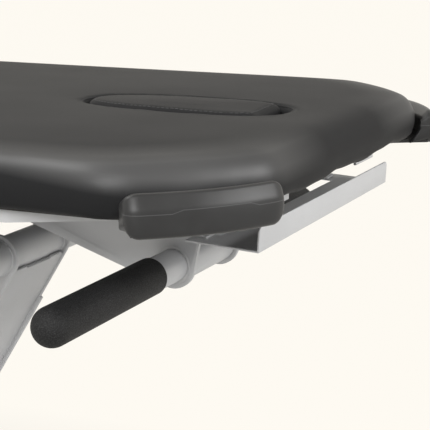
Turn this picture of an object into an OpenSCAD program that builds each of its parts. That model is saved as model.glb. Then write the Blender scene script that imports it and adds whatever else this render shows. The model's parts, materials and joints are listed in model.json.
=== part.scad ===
// Electric treatment table: padded two-section top on a hi-lo parallelogram lift.
// Origin on the floor under the middle of the table, +X towards the head end, +Z up, millimetres.

/* [Table top] */
// Length of the upholstery from end to end
top_len = 2000; // [1800:1:2200]
// Width of the upholstery
top_w = 690; // [640:1:760]
// Length of the head section, from its end to the hinge
back_len = 810; // [760:1:900]
// Thickness of the upholstery at its edge
cushion_t = 60; // [50:1:70]
// How far the middle of the top swells above its edge
crown_h = 3; // [1:0.5:12]
// Gap between the two cushions at the hinge
section_gap = 22; // [18:1:30]
// Thickness of the plywood boards
board_t = 12; // [9:1:18]
// How far the boards stay inside the cushion's outline
board_inset = 30; // [29:1:36]

/* [Corners] */
// Radius where a corner turns into the end of the top
corner_end_r = 60; // [50:1:100]
// Radius of the long shallow curve behind a bumper
corner_face_r = 375; // [300:1:600]
// Radius where a corner turns into the side of the top
corner_side_r = 85; // [60:1:110]
// Turn of the first corner curve, degrees
corner_end_turn = 33; // [24:1:36]
// Turn at which the shallow curve hands over, degrees
corner_side_turn = 51; // [44:1:56]

/* [Breathing slot] */
// Length of the slot in the head section
slot_len = 238; // [200:1:280]
// Width of the slot
slot_w = 110; // [90:1:140]
// Distance of the slot's middle from the head end
slot_setback = 201; // [180:1:260]
// Clearance round the slot's infill plug
plug_gap = 2.5; // [1:0.1:5]
// How far the plug stands proud of the top
plug_proud = 2; // [0:0.5:10]
// Width of the board ledge that carries the plug
plug_ledge = 14; // [8:1:20]
// Length of the finger notch at the head end of the plug
plug_notch = 20; // [0:1:40]

/* [Bumpers] */
// How far a bumper stands out from the corner curve
bumper_out = 33.5; // [24:0.5:40]
// Wall of a bumper
bumper_wall = 4; // [2.5:0.5:6]
// Reach of a bumper below the boards
bumper_drop = 5; // [4.5:0.5:24]
// Height of a bumper's ridge above the boards
bumper_rise = 34.5; // [30:0.5:40]
// Start of a bumper along its curve, degrees
bumper_from = 31.5; // [30:0.5:36]
// End of a bumper along its curve, degrees
bumper_to = 54; // [50:0.5:56]

/* [Top frame] */
// Width of the angle rails under the boards
edge_rail_w = 30; // [20:1:40]
// Depth of the angle rails
edge_rail_t = 12.5; // [10:0.5:20]
// Sheet thickness of the angle rails
edge_wall = 3; // [2:0.5:4]
// Distance of the rails from the side of the top
side_inset = 32; // [31:1:36]
// Distance of the side rails from the end of the top
end_inset = 38; // [32:1:50]
// Half width over the straight ends of the side rails
end_half = 162; // [120:1:200]
// Half width of the opening between the ends of the side rails
end_stub = 103; // [80:1:110]
// Distance of the end rail between them from the end of the top
end_rail_setback = 60; // [56:1:66]
// Size of the main box tubes
main_tube = 40; // [30:1:50]
// Wall of the main box tubes
main_wall = 2.5; // [2:0.5:4]
// Distance of a main tube's middle from the side of the top
main_inset = 55; // [53:1:85]

/* [Lift] */
// Length of the lift arms between their pivots
lift_arm_len = 730; // [600:1:760]
// Slope of the arms as the table stands, degrees
lift_angle = 58; // [50:1:62]
// Height of the lower pivots
base_pivot_z = 110; // [105:1:125]
// Distance of the upper pivots below the boards
pivot_drop = 121; // [100:1:140]
// Distance of the front upper pivot from the head end
pivot_setback = 412; // [390:1:440]
// Distance between the front and rear pivots
arm_spacing = 700; // [660:1:720]
// Diameter of the pivot tubes
pivot_tube_d = 42.4; // [38:0.1:46]
// Wall of the pivot tubes
pivot_tube_wall = 3.2; // [2:0.1:5]
// Width of an arm over its side plates
arm_w = 121; // [100:1:150]
// Thickness of an arm's side plates
arm_plate_t = 5; // [4:0.5:8]
// Thickness of an arm's web
arm_web_t = 4; // [3:0.5:6]
// Radius of the eyes at the ends of an arm
eye_r = 27; // [25:0.5:32]
// Diameter of the pivot bolts
bolt_d = 16; // [12:1:18]
// Thickness of the pivot plates
pivot_plate_t = 8; // [6:1:10]

/* [Grab bar] */
// Length of the grab bar over its grips
bar_len = 667; // [600:1:680]
// Diameter of the bar
bar_d = 36; // [30:1:37]
// Distance of the bar's axis from the head end
bar_setback = 188; // [170:1:220]
// Distance of the bar's axis below the boards
bar_drop = 106; // [90:1:130]
// Length of a foam grip
grip_len = 220; // [160:1:240]
// Diameter of a foam grip
grip_d = 40; // [39:0.5:46]
// Diameter of the sleeve between the bar's plates
sleeve_d = 42; // [41:0.5:46]
// Distance between the middles of the bar's plates
bar_plate_gap = 118; // [100:1:140]
// Thickness of the bar's plates
bar_plate_t = 5; // [4:0.5:8]
// Radius of the eye round the bar
bar_eye_r = 26; // [24:0.5:32]
// Slope of a plate's lower edge, degrees
bar_plate_slope = 18.2; // [15:0.1:22]
// Length of a plate from the bar towards the middle of the table
bar_plate_len = 322; // [280:1:340]

/* [End tray] */
// Distance of the tray's ends from the sides of the top
tray_inset = 150; // [135:1:195]
// Distance of the tray's upright from the head end
tray_setback = 32; // [30:1:40]
// Distance of the tray's floor below the boards
tray_drop = 47.5; // [42:0.5:60]
// Height of the tray's upright
tray_up = 25.5; // [15:0.5:29]
// Depth of the tray's floor strip
tray_strip = 54; // [40:1:60]
// Reach of the tray's side arms from its upright
tray_reach = 77; // [70:1:90]
// Width of a side arm
tray_arm_w = 35; // [25:1:45]
// Sheet thickness of the tray
tray_t = 2; // [1.5:0.1:3]
// Slope of the tray's floor, degrees
tray_tilt = 3; // [0:0.5:5]

/* [Base] */
// Length of the base rails
base_len = 1240; // [1100:1:1300]
// Reach of the base rails behind the rear lower pivots
base_back = 141.16; // [120:0.01:180]
// Width over the base's cross tubes
base_w = 600; // [540:1:640]
// Distance of a base rail's middle from the centreline
base_rail_y = 200; // [190:1:230]
// Size of the base tubes
base_tube = 50; // [40:1:52]
// Height of the base tubes above the floor
base_clear = 45; // [38:1:50]
// Diameter of the levelling feet
foot_d = 56; // [40:1:70]

/* [Drive] */
// Distance of the drive's base pin from the rear lower pivot
drive_reach = 480; // [460:1:520]
// Distance of the drive's base pin below the lower pivots
drive_drop = 25; // [15:1:30]
// Distance of the arm's drive pin from the rear lower pivot
drive_lever = 200; // [190:1:210]
// Angle of the drive pin ahead of the arm, degrees
drive_lead = 35; // [30:1:38]
// Diameter of the drive's outer tube
drive_tube_d = 50; // [40:1:54]
// Diameter of the drive's push rod
drive_rod_d = 22; // [18:1:28]
// Clearance of the push rod's eye round the arm's pin
drive_eye_gap = 8.5; // [8:0.1:12]

/* [Backrest] */
// Height of the hinge above the underside of the cushions
hinge_rise = 4; // [2:0.5:6]
// Distance of the hinges from the centreline
hinge_y = 200; // [150:1:240]
// Diameter of the hinge pins
hinge_pin_d = 10; // [8:1:12]
// Distance of the gas spring's lower pin below the hinge
spring_drop = 70; // [60:1:90]
// Distance of the gas spring's upper pin from the hinge
spring_reach = 372; // [360:1:390]
// Distance of the gas spring's upper pin below the hinge
spring_low = 34; // [32:0.5:38]
// Diameter of the gas spring's cylinder
spring_d = 22; // [18:1:24]
// Diameter of the gas spring's rod
spring_rod_d = 10; // [8:1:12]
// Clearance of the rod's eye round its pin
spring_eye_gap = 7.5; // [7:0.1:10]

/* [Hidden] */

$fn = 48;
overrun = 1;        // how far a cut runs past the face that it leaves
touch_gap = 0.3;    // between pieces that lie against each other on different bodies
fit_gap = 0.05;     // radial clearance of a running fit
weld_gap = 0.1;     // between a tube and the plate that it is welded into
spare_gap = 1;      // between pieces that pass each other with no part in each other

x_head = top_len / 2;
half_w = top_w / 2;
main_y = half_w - main_inset;
tray_w = top_w - 2 * tray_inset;
hinge_x = x_head - back_len;
lift_rise = lift_arm_len * sin(lift_angle);
lift_run = lift_arm_len * cos(lift_angle);
pivot_z = base_pivot_z + lift_rise;
deck_z = pivot_z + pivot_drop;
top_front_x = x_head - pivot_setback;
top_rear_x = top_front_x - arm_spacing;
base_front_x = top_front_x - lift_run;
base_rear_x = top_rear_x - lift_run;
hinge_z = deck_z + hinge_rise;
bar_x = x_head - bar_setback;
bar_z = deck_z - bar_drop;
main_top = deck_z - edge_rail_t - touch_gap;

// Colours of the finishes
vinyl_colour = [0.22, 0.22, 0.23];
plastic_colour = [0.25, 0.25, 0.26];
steel_colour = [0.76, 0.76, 0.75];
bright_colour = [0.66, 0.66, 0.68];
foam_colour = [0.09, 0.09, 0.09];
ply_colour = [0.75, 0.62, 0.45];
rubber_colour = [0.08, 0.08, 0.08];
housing_colour = [0.16, 0.16, 0.17];

// Plan outlines

// Points of an arc in the plane
function arc_points(c, r, from, to, n) = [for (i = [0:n])
    let (a = from + (to - from) * i / n) [c[0] + r * cos(a), c[1] + r * sin(a)]];

// Far corner at the head end, moved in by d, from the end to the side
function corner_points(d) = let (
        re = max(corner_end_r - d, corner_end_r / 6), rf = corner_face_r - d,
        rs = max(corner_side_r - d, corner_side_r / 6),
        a = corner_end_turn, b = corner_side_turn,
        ce = [x_head - d - re, half_w - d - rs - (rf - rs) * sin(b) - (re - rf) * sin(a)],
        cf = ce + (re - rf) * [cos(a), sin(a)],
        cs = cf + (rf - rs) * [cos(b), sin(b)])
    concat(arc_points(ce, re, 0, a, 4), [for (i = [1:4]) arc_points(cf, rf, a, b, 4)[i]],
        [for (i = [1:6]) arc_points(cs, rs, b, 90, 6)[i]]);

// Centre of the shallow corner curve that the bumpers follow
corner_centre = [x_head - corner_end_r + (corner_end_r - corner_face_r) * cos(corner_end_turn),
    half_w - corner_side_r - (corner_face_r - corner_side_r) * sin(corner_side_turn)];

// Far corner at the hinge, moved in by d from the side and by h from the joint at x
joint_corner_r = 46;
function joint_points(x, d, h) = let (r = max(joint_corner_r - (d + h) / 2, joint_corner_r / 6))
    arc_points([x + h + r, half_w - d - r], r, 90, 180, 6);

function mirrored_y(p) = [for (i = [len(p) - 1:-1:0]) [p[i][0], -p[i][1]]];
function mirrored_x(p) = [for (i = [len(p) - 1:-1:0]) [-p[i][0], p[i][1]]];

// Whole section from the head end to the joint at x, counter-clockwise from above
function section_points(x, d, h) = let (far = concat(corner_points(d), joint_points(x, d, h)))
    concat(far, mirrored_y(far));

// Outline of the breathing slot moved in by d: blunt, and a little wider towards the head end
slot_x = x_head - slot_setback;
slot_power = 2.5;
slot_flare_share = 0.08;
slot_steps = 40;
function signed_power(v, e) = sign(v) * pow(abs(v), e);
function slot_points(d) = [for (i = [0:slot_steps - 1]) let (a = 360 * i / slot_steps)
    [slot_x + (slot_len / 2 - d) * signed_power(cos(a), 2 / slot_power),
     (slot_w / 2 - d) * (1 + slot_flare_share * cos(a)) * signed_power(sin(a), 2 / slot_power)]];

// Closed solid through a stack of rings with the same number of points
module loft(rings) {
    n = len(rings[0]);
    m = len(rings);
    sides = [for (k = [0:m - 2], i = [0:n - 1], half = [0, 1])
        let (a = k * n + i, b = k * n + (i + 1) % n, c = b + n, d = a + n)
        half == 0 ? [a, d, c] : [a, c, b]];
    cap_top = [for (i = [n - 1:-1:0]) (m - 1) * n + i];
    cap_bottom = [for (i = [0:n - 1]) i];
    polyhedron(points = [for (r = rings, p = r) p], faces = concat([cap_bottom], sides, [cap_top]));
}

function lifted(p, z) = [for (q = p) [q[0], q[1], z]];
function shrunk(p, c, s, z) = [for (q = p) [c + (q[0] - c) * s, q[1] * s, z]];

// Cushions

// Widest level of a cushion's side above its underside
bulge_z = 24;
edge_round_w = 30;      // width of the rounding along the top edge
edge_under = 26;        // how far the underside is drawn in
joint_round_w = 66;     // width of the rounding at the joint between the cushions
joint_low_z = 3;        // level where a cushion's joint end is longest
crown_shares = [0.12, 0.3, 0.55, 0.8];
side_turns = [15, 30, 45, 58, 70, 82];
under_turns = [90, 60, 30, 0];

// Height of the side and how far it is drawn in, for a turn up or down from the bulge
function side_level(a) = [edge_round_w * (1 - cos(a)), bulge_z + (cushion_t - bulge_z) * sin(a)];
function under_level(a) = [edge_under * (1 - cos(a)), bulge_z * (1 - sin(a))];
function joint_inset(z) = z <= joint_low_z ? joint_low_z - z
    : joint_round_w * (1 - sqrt(max(0, 1 - pow((z - joint_low_z) / (cushion_t - joint_low_z), 2))));

// Rings of the cushion that reaches from the head end to the joint at x
function cushion_rings(x) = let (
        levels = concat([for (a = under_turns) under_level(a)], [for (a = side_turns) side_level(a)]),
        last = levels[len(levels) - 1],
        top = section_points(x, last[0], joint_inset(last[1])),
        middle = (x + x_head) / 2)
    concat([for (l = levels) lifted(section_points(x, l[0], joint_inset(l[1])), deck_z + l[1])],
        [for (s = crown_shares) shrunk(top, middle, 1 - s,
            deck_z + last[1] + (cushion_t - last[1] + crown_h) * sin(90 * s))]);

// Board under that cushion
board_joint_inset = 12;
module board_plan(x, grow) {
    polygon(section_points(x, board_inset - grow, board_joint_inset - grow));
}

module board_pocket(x) {
    translate([0, 0, deck_z - overrun]) linear_extrude(board_t + touch_gap + overrun) {
        board_plan(x, touch_gap);
    }
}

module back_cushion() {
    color(vinyl_colour) difference() {
        loft(cushion_rings(hinge_x + section_gap / 2));
        board_pocket(hinge_x + section_gap / 2);
        translate([0, 0, deck_z]) linear_extrude(cushion_t + crown_h + overrun) polygon(slot_points(0));
    }
}

module seat_cushion() {
    color(vinyl_colour) mirror([1, 0, 0]) difference() {
        loft(cushion_rings(-hinge_x + section_gap / 2));
        board_pocket(-hinge_x + section_gap / 2);
    }
}

module back_board() {
    color(ply_colour) translate([0, 0, deck_z]) linear_extrude(board_t) difference() {
        board_plan(hinge_x + section_gap / 2, 0);
        polygon(slot_points(plug_ledge));
    }
}

module seat_board() {
    color(ply_colour) mirror([1, 0, 0]) translate([0, 0, deck_z]) linear_extrude(board_t) {
        board_plan(-hinge_x + section_gap / 2, 0);
    }
}

// Infill plug of the breathing slot: rounded above, a little proud of the top, and cut short at
// its head end to leave a finger notch
function plug_points(d) = [for (q = slot_points(plug_gap + d))
    [min(q[0], slot_x + slot_len / 2 - max(plug_gap, plug_notch) - d), q[1]]];
plug_round = 10;
plug_dome_shares = [0.35, 0.7];
module face_plug() {
    base = deck_z + board_t + touch_gap;
    top = deck_z + cushion_t + crown_h + plug_proud;
    edge = plug_points(0);
    bevel = plug_points(plug_round / 4);
    inner = plug_points(plug_round);
    color(vinyl_colour) loft(concat(
        [lifted(bevel, base), lifted(edge, base + plug_round / 4), lifted(edge, top - plug_round),
            lifted(bevel, top - plug_round / 2), lifted(inner, top - plug_round / 5)],
        [for (s = plug_dome_shares) shrunk(inner, slot_x, 1 - s, top - plug_round / 5 * (1 - s))]));
}

// Bumpers

bumper_flange_w = 45;   // width of the screwed flange under the board
bumper_lip_gap = 6;     // between a bumper's lip and the cushion
bumper_round = 6;       // rounding of a bumper's lower edge
bumper_crest = 24.5;    // height above the boards at which the wall ends and the slope starts
bumper_slope_w = 6.5;   // width of the slope up to the ridge
bumper_ridge_w = 6;     // width of the ridge
bumper_sink = 7.5;      // of the lip below the ridge
bumper_hug = 3.5;       // between the cushion's underside and a bumper's solid ends

// Outer face, from the underside over the wall and the ridge to the lip
function bumper_face() = let (
        r = corner_face_r + bumper_out,
        c = bumper_round,
        ridge = r - bumper_slope_w)
    [[r - 2 * c, -bumper_drop], [r - c, -bumper_drop], [r - c / 3, -bumper_drop + c / 3],
        [r, -bumper_drop + c], [r, bumper_crest - c / 2], [r - c / 4, bumper_crest],
        [ridge, bumper_rise], [ridge - bumper_ridge_w, bumper_rise],
        [corner_face_r + bumper_lip_gap, bumper_rise - bumper_sink]];

module bumper_section() {
    r = corner_face_r + bumper_out;
    w = bumper_wall;
    c = bumper_round;
    ridge = r - bumper_slope_w;
    // outer wall, hollow towards the cushion
    polygon(concat(bumper_face(), [[corner_face_r + bumper_lip_gap, bumper_rise - bumper_sink - w],
        [ridge - bumper_ridge_w, bumper_rise - w], [ridge - w / 2, bumper_rise - w],
        [r - w - c / 4, bumper_crest - c / 4], [r - w, bumper_crest - w],
        [r - w, w - bumper_drop + c / 2], [r - w - c / 3, w - bumper_drop],
        [r - 2 * c, w - bumper_drop]]));
    // screwed flange
    translate([r - bumper_out - bumper_flange_w, -w - touch_gap]) {
        square([bumper_out + bumper_flange_w - c, w]);
    }
}

// Solid end, which follows the underside of the cushion
module bumper_end() {
    polygon(concat(bumper_face(), [for (a = [0, 30, 60]) let (l = under_level(a))
        [corner_face_r - l[0] + bumper_hug * cos(a), l[1] - bumper_hug * sin(a)]],
        [[corner_face_r - under_level(60)[0], -touch_gap - bumper_wall]]));
}

// Bumper of the far corner at the head end
module bumper() {
    cap_turn = bumper_wall / corner_face_r * 180 / PI;
    color(plastic_colour) translate([corner_centre[0], corner_centre[1], deck_z]) {
        rotate([0, 0, bumper_from]) rotate_extrude(angle = bumper_to - bumper_from) bumper_section();
        for (a = [bumper_from, bumper_to - cap_turn]) {
            rotate([0, 0, a]) rotate_extrude(angle = cap_turn) bumper_end();
        }
    }
}

module bumper_head_left() { bumper(); }
module bumper_head_right() { mirror([0, 1, 0]) bumper(); }
module bumper_foot_left() { mirror([1, 0, 0]) bumper(); }
module bumper_foot_right() { mirror([1, 0, 0]) mirror([0, 1, 0]) bumper(); }

// Rails under the boards

// How the rails cut the corner, measured from the end and from the side of the top
rail_cut_end = 157;     // first bend, from the end
rail_cut_side = 76;     // first bend, from the side
rail_cut_start = 236;   // where the side leaves the straight, from the end
joint_rail_gap = 14;    // between the hinge's axis and the rails of a section
cross_rail_w = 40;

function left_of(a, b) = let (d = b - a) [-d[1], d[0]] / norm(d);
function mitred(p, w, first) = [for (i = [0:len(p) - 1]) let (
        before = i == 0 ? first : left_of(p[i - 1], p[i]),
        after = i == len(p) - 1 ? before : left_of(p[i], p[i + 1]))
    p[i] + w * (before + after) / (1 + before * after)];

function rail_path(x) = [[x_head - end_inset, end_stub], [x_head - end_inset, end_half],
    [x_head - rail_cut_end, half_w - rail_cut_side],
    [x_head - rail_cut_start, half_w - side_inset], [x, half_w - side_inset]];

// Strip between a path and its left-hand offsets by a and b
module strip(p, a, b, first) {
    q = mitred(p, a, first);
    r = mitred(p, b, first);
    polygon(concat(q, [for (i = [len(r) - 1:-1:0]) r[i]]));
}

// Angle rail of one side, from the end rail to the joint: a flat strip, hollowed from below
module side_rail(x) {
    p = rail_path(x);
    along = (p[0] - p[1]) / norm(p[0] - p[1]);
    past = [p[0] + edge_rail_w * along, p[1], p[2], p[3], p[4] - [overrun, 0]];
    difference() {
        translate([0, 0, deck_z - edge_rail_t]) linear_extrude(edge_rail_t) {
            strip(p, 0, edge_rail_w, [-1, 0]);
        }
        translate([0, 0, deck_z - edge_rail_t - overrun]) {
            linear_extrude(edge_rail_t - edge_wall + overrun) {
                strip(past, edge_wall, edge_rail_w + overrun, left_of(past[0], past[1]));
            }
        }
    }
}

// Angle rail across the end, between the straight ends of the side rails
end_rail_w = 19;
module end_rail() {
    x = x_head - end_rail_setback - end_rail_w;
    difference() {
        translate([x, -end_stub, deck_z - edge_rail_t]) cube([end_rail_w, 2 * end_stub, edge_rail_t]);
        translate([x - overrun, -end_stub - overrun, deck_z - edge_rail_t - overrun]) {
            cube([end_rail_w - edge_wall + overrun, 2 * (end_stub + overrun),
                edge_rail_t - edge_wall + overrun]);
        }
    }
}

// Folded channel across a section, open below, with its middle at x
module cross_channel(x, w) {
    reach = half_w - side_inset - edge_rail_w;
    difference() {
        translate([x - w / 2, -reach, deck_z - edge_rail_t]) cube([w, 2 * reach, edge_rail_t]);
        translate([x - w / 2 + edge_wall, -reach - overrun, deck_z - edge_rail_t - overrun]) {
            cube([w - 2 * edge_wall, 2 * reach + 2 * overrun, edge_rail_t - edge_wall + overrun]);
        }
    }
}

module back_side_rails() {
    color(steel_colour) difference() {
        for (s = [0, 1]) mirror([0, s, 0]) side_rail(hinge_x + joint_rail_gap);
        translate([lever_x, -rail_face_y - overrun, lever_z]) rotate([-90, 0, 0]) {
            cylinder(r = lever_pin_r + fit_gap, h = edge_wall + 2 * overrun);
        }
    }
}

// Channels of the head section: short of the slot, near the plates' tails, and at the hinge
slot_channel_x = slot_x - slot_len / 2 - cross_rail_w / 2 - spare_gap;
tail_channel_x = bar_x - bar_plate_len + cross_rail_w / 2;
module back_cross_rails() {
    color(steel_colour) {
        end_rail();
        cross_channel(slot_channel_x, cross_rail_w);
        cross_channel(tail_channel_x, cross_rail_w);
        cross_channel(hinge_x + joint_rail_gap + edge_rail_w / 2, edge_rail_w);
    }
}

module seat_side_rails() {
    color(steel_colour) mirror([1, 0, 0]) for (s = [0, 1]) mirror([0, s, 0]) {
        side_rail(-hinge_x + joint_rail_gap);
    }
}

module seat_cross_rails() {
    seat_length = hinge_x + x_head;
    color(steel_colour) mirror([1, 0, 0]) {
        end_rail();
        for (share = [1 / 3, 2 / 3]) cross_channel(-hinge_x + seat_length * share, cross_rail_w);
        cross_channel(-hinge_x + joint_rail_gap + edge_rail_w / 2, edge_rail_w);
    }
}

// Main frame

module box_tube_x(from, to, y, z, size, wall) {
    difference() {
        translate([from, y - size / 2, z]) cube([to - from, size, size]);
        translate([from - overrun, y - size / 2 + wall, z + wall]) {
            cube([to - from + 2 * overrun, size - 2 * wall, size - 2 * wall]);
        }
    }
}

module box_tube_y(x, from, to, z, size, wall) {
    translate([x, 0, 0]) rotate([0, 0, 90]) box_tube_x(from, to, 0, z, size, wall);
}

main_x0 = -(x_head - rail_cut_start);
main_overhang = 45;     // of the main tubes past the front pivot
main_x1 = top_front_x + main_overhang;
spring_tube_back = 40;  // distance of the cross tube's middle behind the hinge
foot_tube_in = 20;
main_cross_x = [main_x0 + foot_tube_in, top_rear_x - eye_r - main_tube / 2 - spare_gap,
    hinge_x - spring_tube_back];

module frame_side_tubes() {
    color(steel_colour) for (s = [-1, 1]) {
        box_tube_x(main_x0, main_x1, s * main_y, main_top - main_tube, main_tube, main_wall);
    }
}

module frame_cross_tubes() {
    reach = main_y - main_tube / 2;
    color(steel_colour) for (x = main_cross_x) {
        box_tube_y(x, -reach, reach, main_top - main_tube, main_tube, main_wall);
    }
}

// Plastic caps in the open ends of the main tubes
cap_plate = 3;
cap_plug = 15;
cap_gap = 0.2;
module tube_cap(size, wall) {
    translate([0, -size / 2, 0]) cube([cap_plate, size, size]);
    translate([-cap_plug, -size / 2 + wall + cap_gap, wall + cap_gap]) {
        cube([cap_plug, size - 2 * (wall + cap_gap), size - 2 * (wall + cap_gap)]);
    }
}

module frame_caps() {
    color(plastic_colour) for (s = [-1, 1]) {
        translate([main_x1, s * main_y, main_top - main_tube]) tube_cap(main_tube, main_wall);
        translate([main_x0, s * main_y, main_top - main_tube]) mirror([1, 0, 0]) {
            tube_cap(main_tube, main_wall);
        }
    }
}

// Rubber pads on the main tubes that the head section comes down on
pad_len = 40;
pad_w = 20;
pad_inset = 60;
rest_pad_x = [hinge_x + cross_rail_w + joint_rail_gap, main_x1 - pad_inset];
module rest_pads() {
    reach = half_w - side_inset - edge_rail_w + touch_gap;
    color(rubber_colour) for (s = [-1, 1], x = rest_pad_x) {
        translate([x, s > 0 ? reach : -reach - pad_w, main_top]) {
            cube([pad_len, pad_w, edge_rail_t - edge_wall]);
        }
    }
}

// Pivots of the lift

bush_wall = 4;
bush_flange = 1.5;
bush_flange_w = 5;
bolt_head_t = 8;
bolt_head_w = 5;
bolt_reach = 22;        // of a bolt into its tube
top_plate_y = main_y - main_tube / 2 - pivot_plate_t;
base_plate_y = base_rail_y - base_tube / 2 - pivot_plate_t;

// Pivot plate against the inner side of a tube, with its eye at x, z
module pivot_plate(x, z, edge, y) {
    low = min(z, edge);
    high = max(z, edge);
    difference() {
        union() {
            translate([x - eye_r, y, low]) cube([2 * eye_r, pivot_plate_t, high - low]);
            translate([x, y, z]) rotate([-90, 0, 0]) cylinder(r = eye_r, h = pivot_plate_t);
        }
        translate([x, y - overrun, z]) rotate([-90, 0, 0]) {
            cylinder(r = bolt_d / 2 + bush_wall + fit_gap, h = pivot_plate_t + 2 * overrun);
        }
    }
}

module top_pivot_plates() {
    color(steel_colour) for (x = [top_front_x, top_rear_x], s = [0, 1]) mirror([0, s, 0]) {
        pivot_plate(x, pivot_z, main_top, top_plate_y);
    }
}

module base_pivot_plates() {
    color(steel_colour) for (x = [base_front_x, base_rear_x], s = [0, 1]) mirror([0, s, 0]) {
        pivot_plate(x, base_pivot_z, base_clear, base_plate_y);
    }
}

// Flanged bush in a pivot plate, its flange towards the tube
module bush(x, y, z) {
    translate([x, y, z]) rotate([-90, 0, 0]) difference() {
        union() {
            cylinder(r = bolt_d / 2 + bush_wall, h = pivot_plate_t);
            translate([0, 0, -bush_flange]) {
                cylinder(r = bolt_d / 2 + bush_wall + bush_flange_w, h = bush_flange);
            }
        }
        translate([0, 0, -bush_flange - overrun]) {
            cylinder(r = bolt_d / 2 + fit_gap, h = pivot_plate_t + bush_flange + 2 * overrun);
        }
    }
}

module upper_bushes() {
    color(housing_colour) for (x = [top_front_x, top_rear_x], s = [0, 1]) mirror([0, s, 0]) {
        bush(x, top_plate_y, pivot_z);
    }
}

module lower_bushes() {
    color(housing_colour) for (x = [base_front_x, base_rear_x], s = [0, 1]) mirror([0, s, 0]) {
        bush(x, base_plate_y, base_pivot_z);
    }
}

// Pivot tube along Y with thick ends that take the bolts
module pivot_tube(x, z, y) {
    end_y = y - bush_flange - touch_gap;
    translate([x, 0, z]) rotate([-90, 0, 0]) difference() {
        translate([0, 0, -end_y]) cylinder(d = pivot_tube_d, h = 2 * end_y);
        translate([0, 0, -end_y + bolt_reach]) {
            cylinder(r = pivot_tube_d / 2 - pivot_tube_wall, h = 2 * (end_y - bolt_reach));
        }
        for (s = [0, 1]) mirror([0, 0, s]) translate([0, 0, end_y - bolt_reach - overrun]) {
            cylinder(r = bolt_d / 2 + weld_gap, h = bolt_reach + 2 * overrun);
        }
    }
}

module pivot_bolt(x, z, y) {
    translate([x, 0, z]) rotate([-90, 0, 0]) {
        translate([0, 0, y - bolt_reach]) {
            cylinder(d = bolt_d, h = bolt_reach + pivot_plate_t + touch_gap + overrun);
        }
        translate([0, 0, y + pivot_plate_t + touch_gap]) {
            cylinder(r = bolt_d / 2 + bolt_head_w, h = bolt_head_t, $fn = 6);
        }
    }
}

module arm_bolts(low_x, high_x) {
    for (s = [0, 1]) mirror([0, s, 0]) {
        pivot_bolt(low_x, base_pivot_z, base_plate_y);
        pivot_bolt(high_x, pivot_z, top_plate_y);
    }
}

// Lift arms, drawn lying along +X from the lower pivot

web_clear = 6;          // of the web from the pivot axes, along the arm
step_start = 74;        // where the side plates grow a stiffening edge, from each pivot
step_w = 3;

module at_arm(x) {
    translate([x, 0, base_pivot_z]) rotate([0, -lift_angle, 0]) children();
}

module arm_plate_blank() {
    for (x = [0, lift_arm_len]) translate([x, 0]) circle(r = eye_r);
    translate([0, -eye_r]) square([lift_arm_len, 2 * eye_r]);
}

module arm_side(y) {
    translate([0, y + arm_plate_t / 2, 0]) rotate([90, 0, 0]) linear_extrude(arm_plate_t) children();
}

module arm_bores() {
    for (x = [0, lift_arm_len]) translate([x, 0]) circle(r = pivot_tube_d / 2 + weld_gap);
}

plate_y = arm_w / 2 - arm_plate_t / 2;
web_low = pivot_tube_d / 2 + weld_gap;

// Web welded between the side plates, its lower face at z
module arm_web(from, to, z) {
    reach = arm_w / 2 - arm_plate_t - weld_gap;
    translate([from, -reach, z]) cube([to - from, 2 * reach, arm_web_t]);
}

module front_arm() {
    color(steel_colour) at_arm(base_front_x) {
        for (s = [-1, 1]) arm_side(s * plate_y) difference() {
            union() {
                arm_plate_blank();
                translate([step_start, -eye_r - step_w]) {
                    square([lift_arm_len - 2 * step_start, eye_r]);
                }
            }
            arm_bores();
        }
        arm_web(web_clear, lift_arm_len - web_clear, -web_low - arm_web_t);
    }
}

// The rear arm's plates carry ears for the drive, and its web leaves room for the drive's swing
ear_r = 18;
ear_foot_share = 1.6;
rear_web_low_end = 135;
rear_web_start = 420;
lug_x = drive_lever * cos(drive_lead);
lug_z = drive_lever * sin(drive_lead);
drive_pin_r = 8;

module rear_arm() {
    foot = lug_x * ear_foot_share;
    color(steel_colour) at_arm(base_rear_x) {
        for (s = [-1, 1]) arm_side(s * plate_y) difference() {
            union() {
                arm_plate_blank();
                translate([lug_x, lug_z]) circle(r = ear_r);
                polygon([[lug_x / 3, 0], [foot, 0], [lug_x + ear_r, lug_z], [lug_x - ear_r, lug_z]]);
            }
            arm_bores();
            translate([lug_x, lug_z]) circle(r = drive_pin_r + weld_gap);
        }
        arm_web(web_clear, rear_web_low_end, web_low);
        arm_web(rear_web_start, lift_arm_len - web_clear, web_low);
    }
}

module front_arm_tubes() {
    color(steel_colour) {
        pivot_tube(top_front_x, pivot_z, top_plate_y);
        pivot_tube(base_front_x, base_pivot_z, base_plate_y);
    }
}

module rear_arm_tubes() {
    color(steel_colour) {
        pivot_tube(top_rear_x, pivot_z, top_plate_y);
        pivot_tube(base_rear_x, base_pivot_z, base_plate_y);
    }
}

module front_pivot_bolts() { color(bright_colour) arm_bolts(base_front_x, top_front_x); }
module rear_pivot_bolts() { color(bright_colour) arm_bolts(base_rear_x, top_rear_x); }

pin_head_t = 3;
pin_head_w = 3;
module cross_pin(r, reach) {
    rotate([90, 0, 0]) translate([0, 0, -reach]) cylinder(r = r, h = 2 * reach);
    for (s = [0, 1]) mirror([0, s, 0]) translate([0, reach + pin_head_t, 0]) rotate([90, 0, 0]) {
        cylinder(r = r + pin_head_w, h = pin_head_t);
    }
}

module drive_arm_pin() {
    color(bright_colour) at_arm(base_rear_x) translate([lug_x, 0, lug_z]) {
        cross_pin(drive_pin_r, arm_w / 2 + touch_gap);
    }
}

// Electric drive, drawn lying along +X from its base pin

drive_x = base_rear_x + drive_reach;
drive_z = base_pivot_z - drive_drop;
drive_dx = base_rear_x + drive_lever * cos(lift_angle + drive_lead) - drive_x;
drive_dz = base_pivot_z + drive_lever * sin(lift_angle + drive_lead) - drive_z;
drive_len = norm([drive_dx, drive_dz]);
drive_turn = atan2(drive_dz, drive_dx);

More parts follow.
